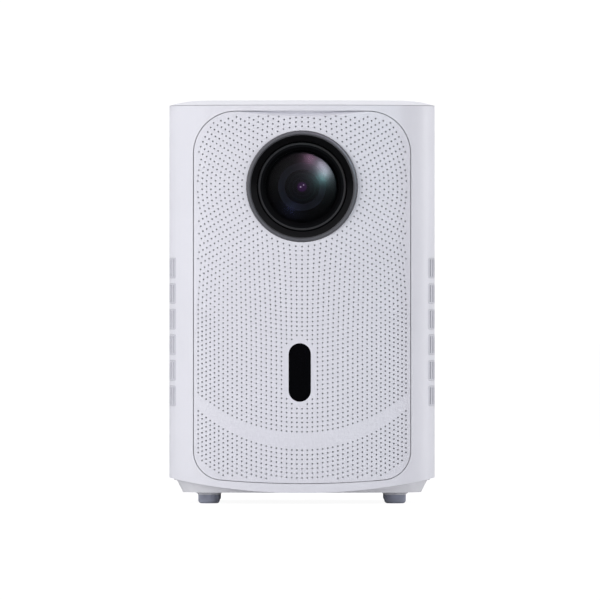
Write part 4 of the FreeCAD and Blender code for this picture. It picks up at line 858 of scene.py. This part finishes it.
# ---------------------------------------------------------------- exhaust fan, blower and fin stack
# Black moulded fans behind the rear slots and beside the light engine. The fins are stamped aluminium on
# three copper heat pipes that run from the light source's cold plate.
fan_black = moulding("fan_black", (0.03, 0.03, 0.034), gloss=0.42)
for node in ("fan_rotor", "fan_frame", "blower_case", "blower_impeller"):
    finished(node, node + "_piece", fan_black)
aluminium = metal("aluminium", (0.80, 0.80, 0.81), gloss=0.32)
for node in ("cold_plate", "fin_stack", "led_board"):
    dress(node, aluminium)
copper = metal("copper", (0.72, 0.36, 0.22), gloss=0.3)
finished("heat_pipes", "heat_pipe_set", copper)
phosphor = moulding("phosphor", (0.80, 0.66, 0.08), gloss=0.6)
dress("led_emitter", phosphor)


# ---------------------------------------------------------------- light engine
# A black two-part box with ledges that hold, from the bottom up, a condenser, a fresnel, a heat glass, the
# display panel in its frame and a second fresnel, under a mirror at 45 degrees that faces the lens.
black_moulding = moulding("black_moulding", (0.022, 0.022, 0.024), gloss=0.55)
for node in ("engine_lower_housing", "engine_upper_housing", "lcd_frame", "lens_mount"):
    dress(node, black_moulding)


def clear(name, colour, ior, roughness=0.02):
    material = bpy.data.materials.new(name)
    material.use_nodes = True
    shader = material.node_tree.nodes["Principled BSDF"]
    shader.inputs["Base Color"].default_value = (*colour, 1.0)
    shader.inputs["Roughness"].default_value = roughness
    shader.inputs["IOR"].default_value = ior
    shader.inputs["Transmission Weight"].default_value = 1.0
    return material


def fresnel_rings():
    """Clear acrylic whose face is cut in fine rings about the light axis."""
    material = clear("fresnel_acrylic", (0.96, 0.97, 0.98), 1.49)
    tree = material.node_tree
    engine_low, engine_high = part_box("engine_lower_housing")
    axis = ((engine_low.x + engine_high.x) / 2, (engine_low.y + engine_high.y) / 2, 0.0)
    place = node_in(tree, "ShaderNodeTexCoord")
    from_axis = node_in(tree, "ShaderNodeVectorMath", {0: place.outputs["Object"], 1: axis},
                        operation="SUBTRACT")
    flat = node_in(tree, "ShaderNodeVectorMath", {0: from_axis.outputs[0], 1: (1.0, 1.0, 0.0)},
                   operation="MULTIPLY")
    radius = node_in(tree, "ShaderNodeVectorMath", {0: flat.outputs[0]}, operation="LENGTH")
    grooves_per_metre = 2000.0
    groove = maths(tree, "FRACT", maths(tree, "MULTIPLY", radius.outputs["Value"], grooves_per_metre))
    relief = node_in(tree, "ShaderNodeBump", {"Strength": 0.8, "Distance": 0.1 * MM, "Height": groove})
    tree.links.new(relief.outputs["Normal"], tree.nodes["Principled BSDF"].inputs["Normal"])
    return material


fresnel_acrylic = fresnel_rings()
dress("lower_fresnel", fresnel_acrylic)
dress("upper_fresnel", fresnel_acrylic)
plain_glass = clear("plain_glass", (0.90, 0.94, 0.94), 1.5)
dress("heat_glass", plain_glass)
finished("condenser_lens", "condenser_glass", plain_glass, crease=40.0)
dress("lcd_glass", moulding("polariser_film", (0.012, 0.012, 0.016), gloss=0.12, grain_depth=0.0))
mirror_silver = metal("mirror_silver", (0.92, 0.93, 0.94), gloss=0.02, depth=0.0)
dress("fold_mirror", mirror_silver)
ribbon_film = moulding("ribbon_film", (0.62, 0.28, 0.05), gloss=0.3, grain_depth=0.0)
dress("lcd_ribbon", ribbon_film)


# ---------------------------------------------------------------- focus drive
# A small geared motor turns a nylon pinion against the toothed ring about the barrel. A steel clip keeps
# the ring on its sleeve.
nylon = moulding("nylon", (0.80, 0.78, 0.72), gloss=0.4)
finished("focus_ring", "focus_ring_piece", nylon)
finished("focus_pinion", "focus_pinion_piece", nylon)
dress("focus_clip", screw_black)
motor_steel = metal("motor_steel", (0.60, 0.60, 0.61), gloss=0.3)
finished("focus_motor", "motor", motor_steel)


# ---------------------------------------------------------------- boards' parts and speakers
# Black chip packages and sleeved power parts are soldered to the boards. Each speaker has a painted steel
# basket and a pulp cone with a rubber edge, screwed to a closed box.
chip_black = moulding("chip_black", (0.018, 0.018, 0.02), gloss=0.5)
dress("main_board_chips", chip_black)
sleeve_blue = moulding("sleeve_blue", (0.05, 0.07, 0.16), gloss=0.3)
finished("power_components", "power_parts", sleeve_blue)
dress("speaker_boxes", black_moulding)
basket_paint = moulding("basket_paint", (0.06, 0.06, 0.062), gloss=0.4)
finished("speaker_baskets", "basket_pair", basket_paint)
cone_pulp = moulding("cone_pulp", (0.035, 0.035, 0.038), gloss=0.75, grain_size=0.8 * MM,
                     grain_depth=0.08 * MM)
finished("speaker_cone_left", "cone_left", cone_pulp)
finished("speaker_cone_right", "cone_right", cone_pulp)
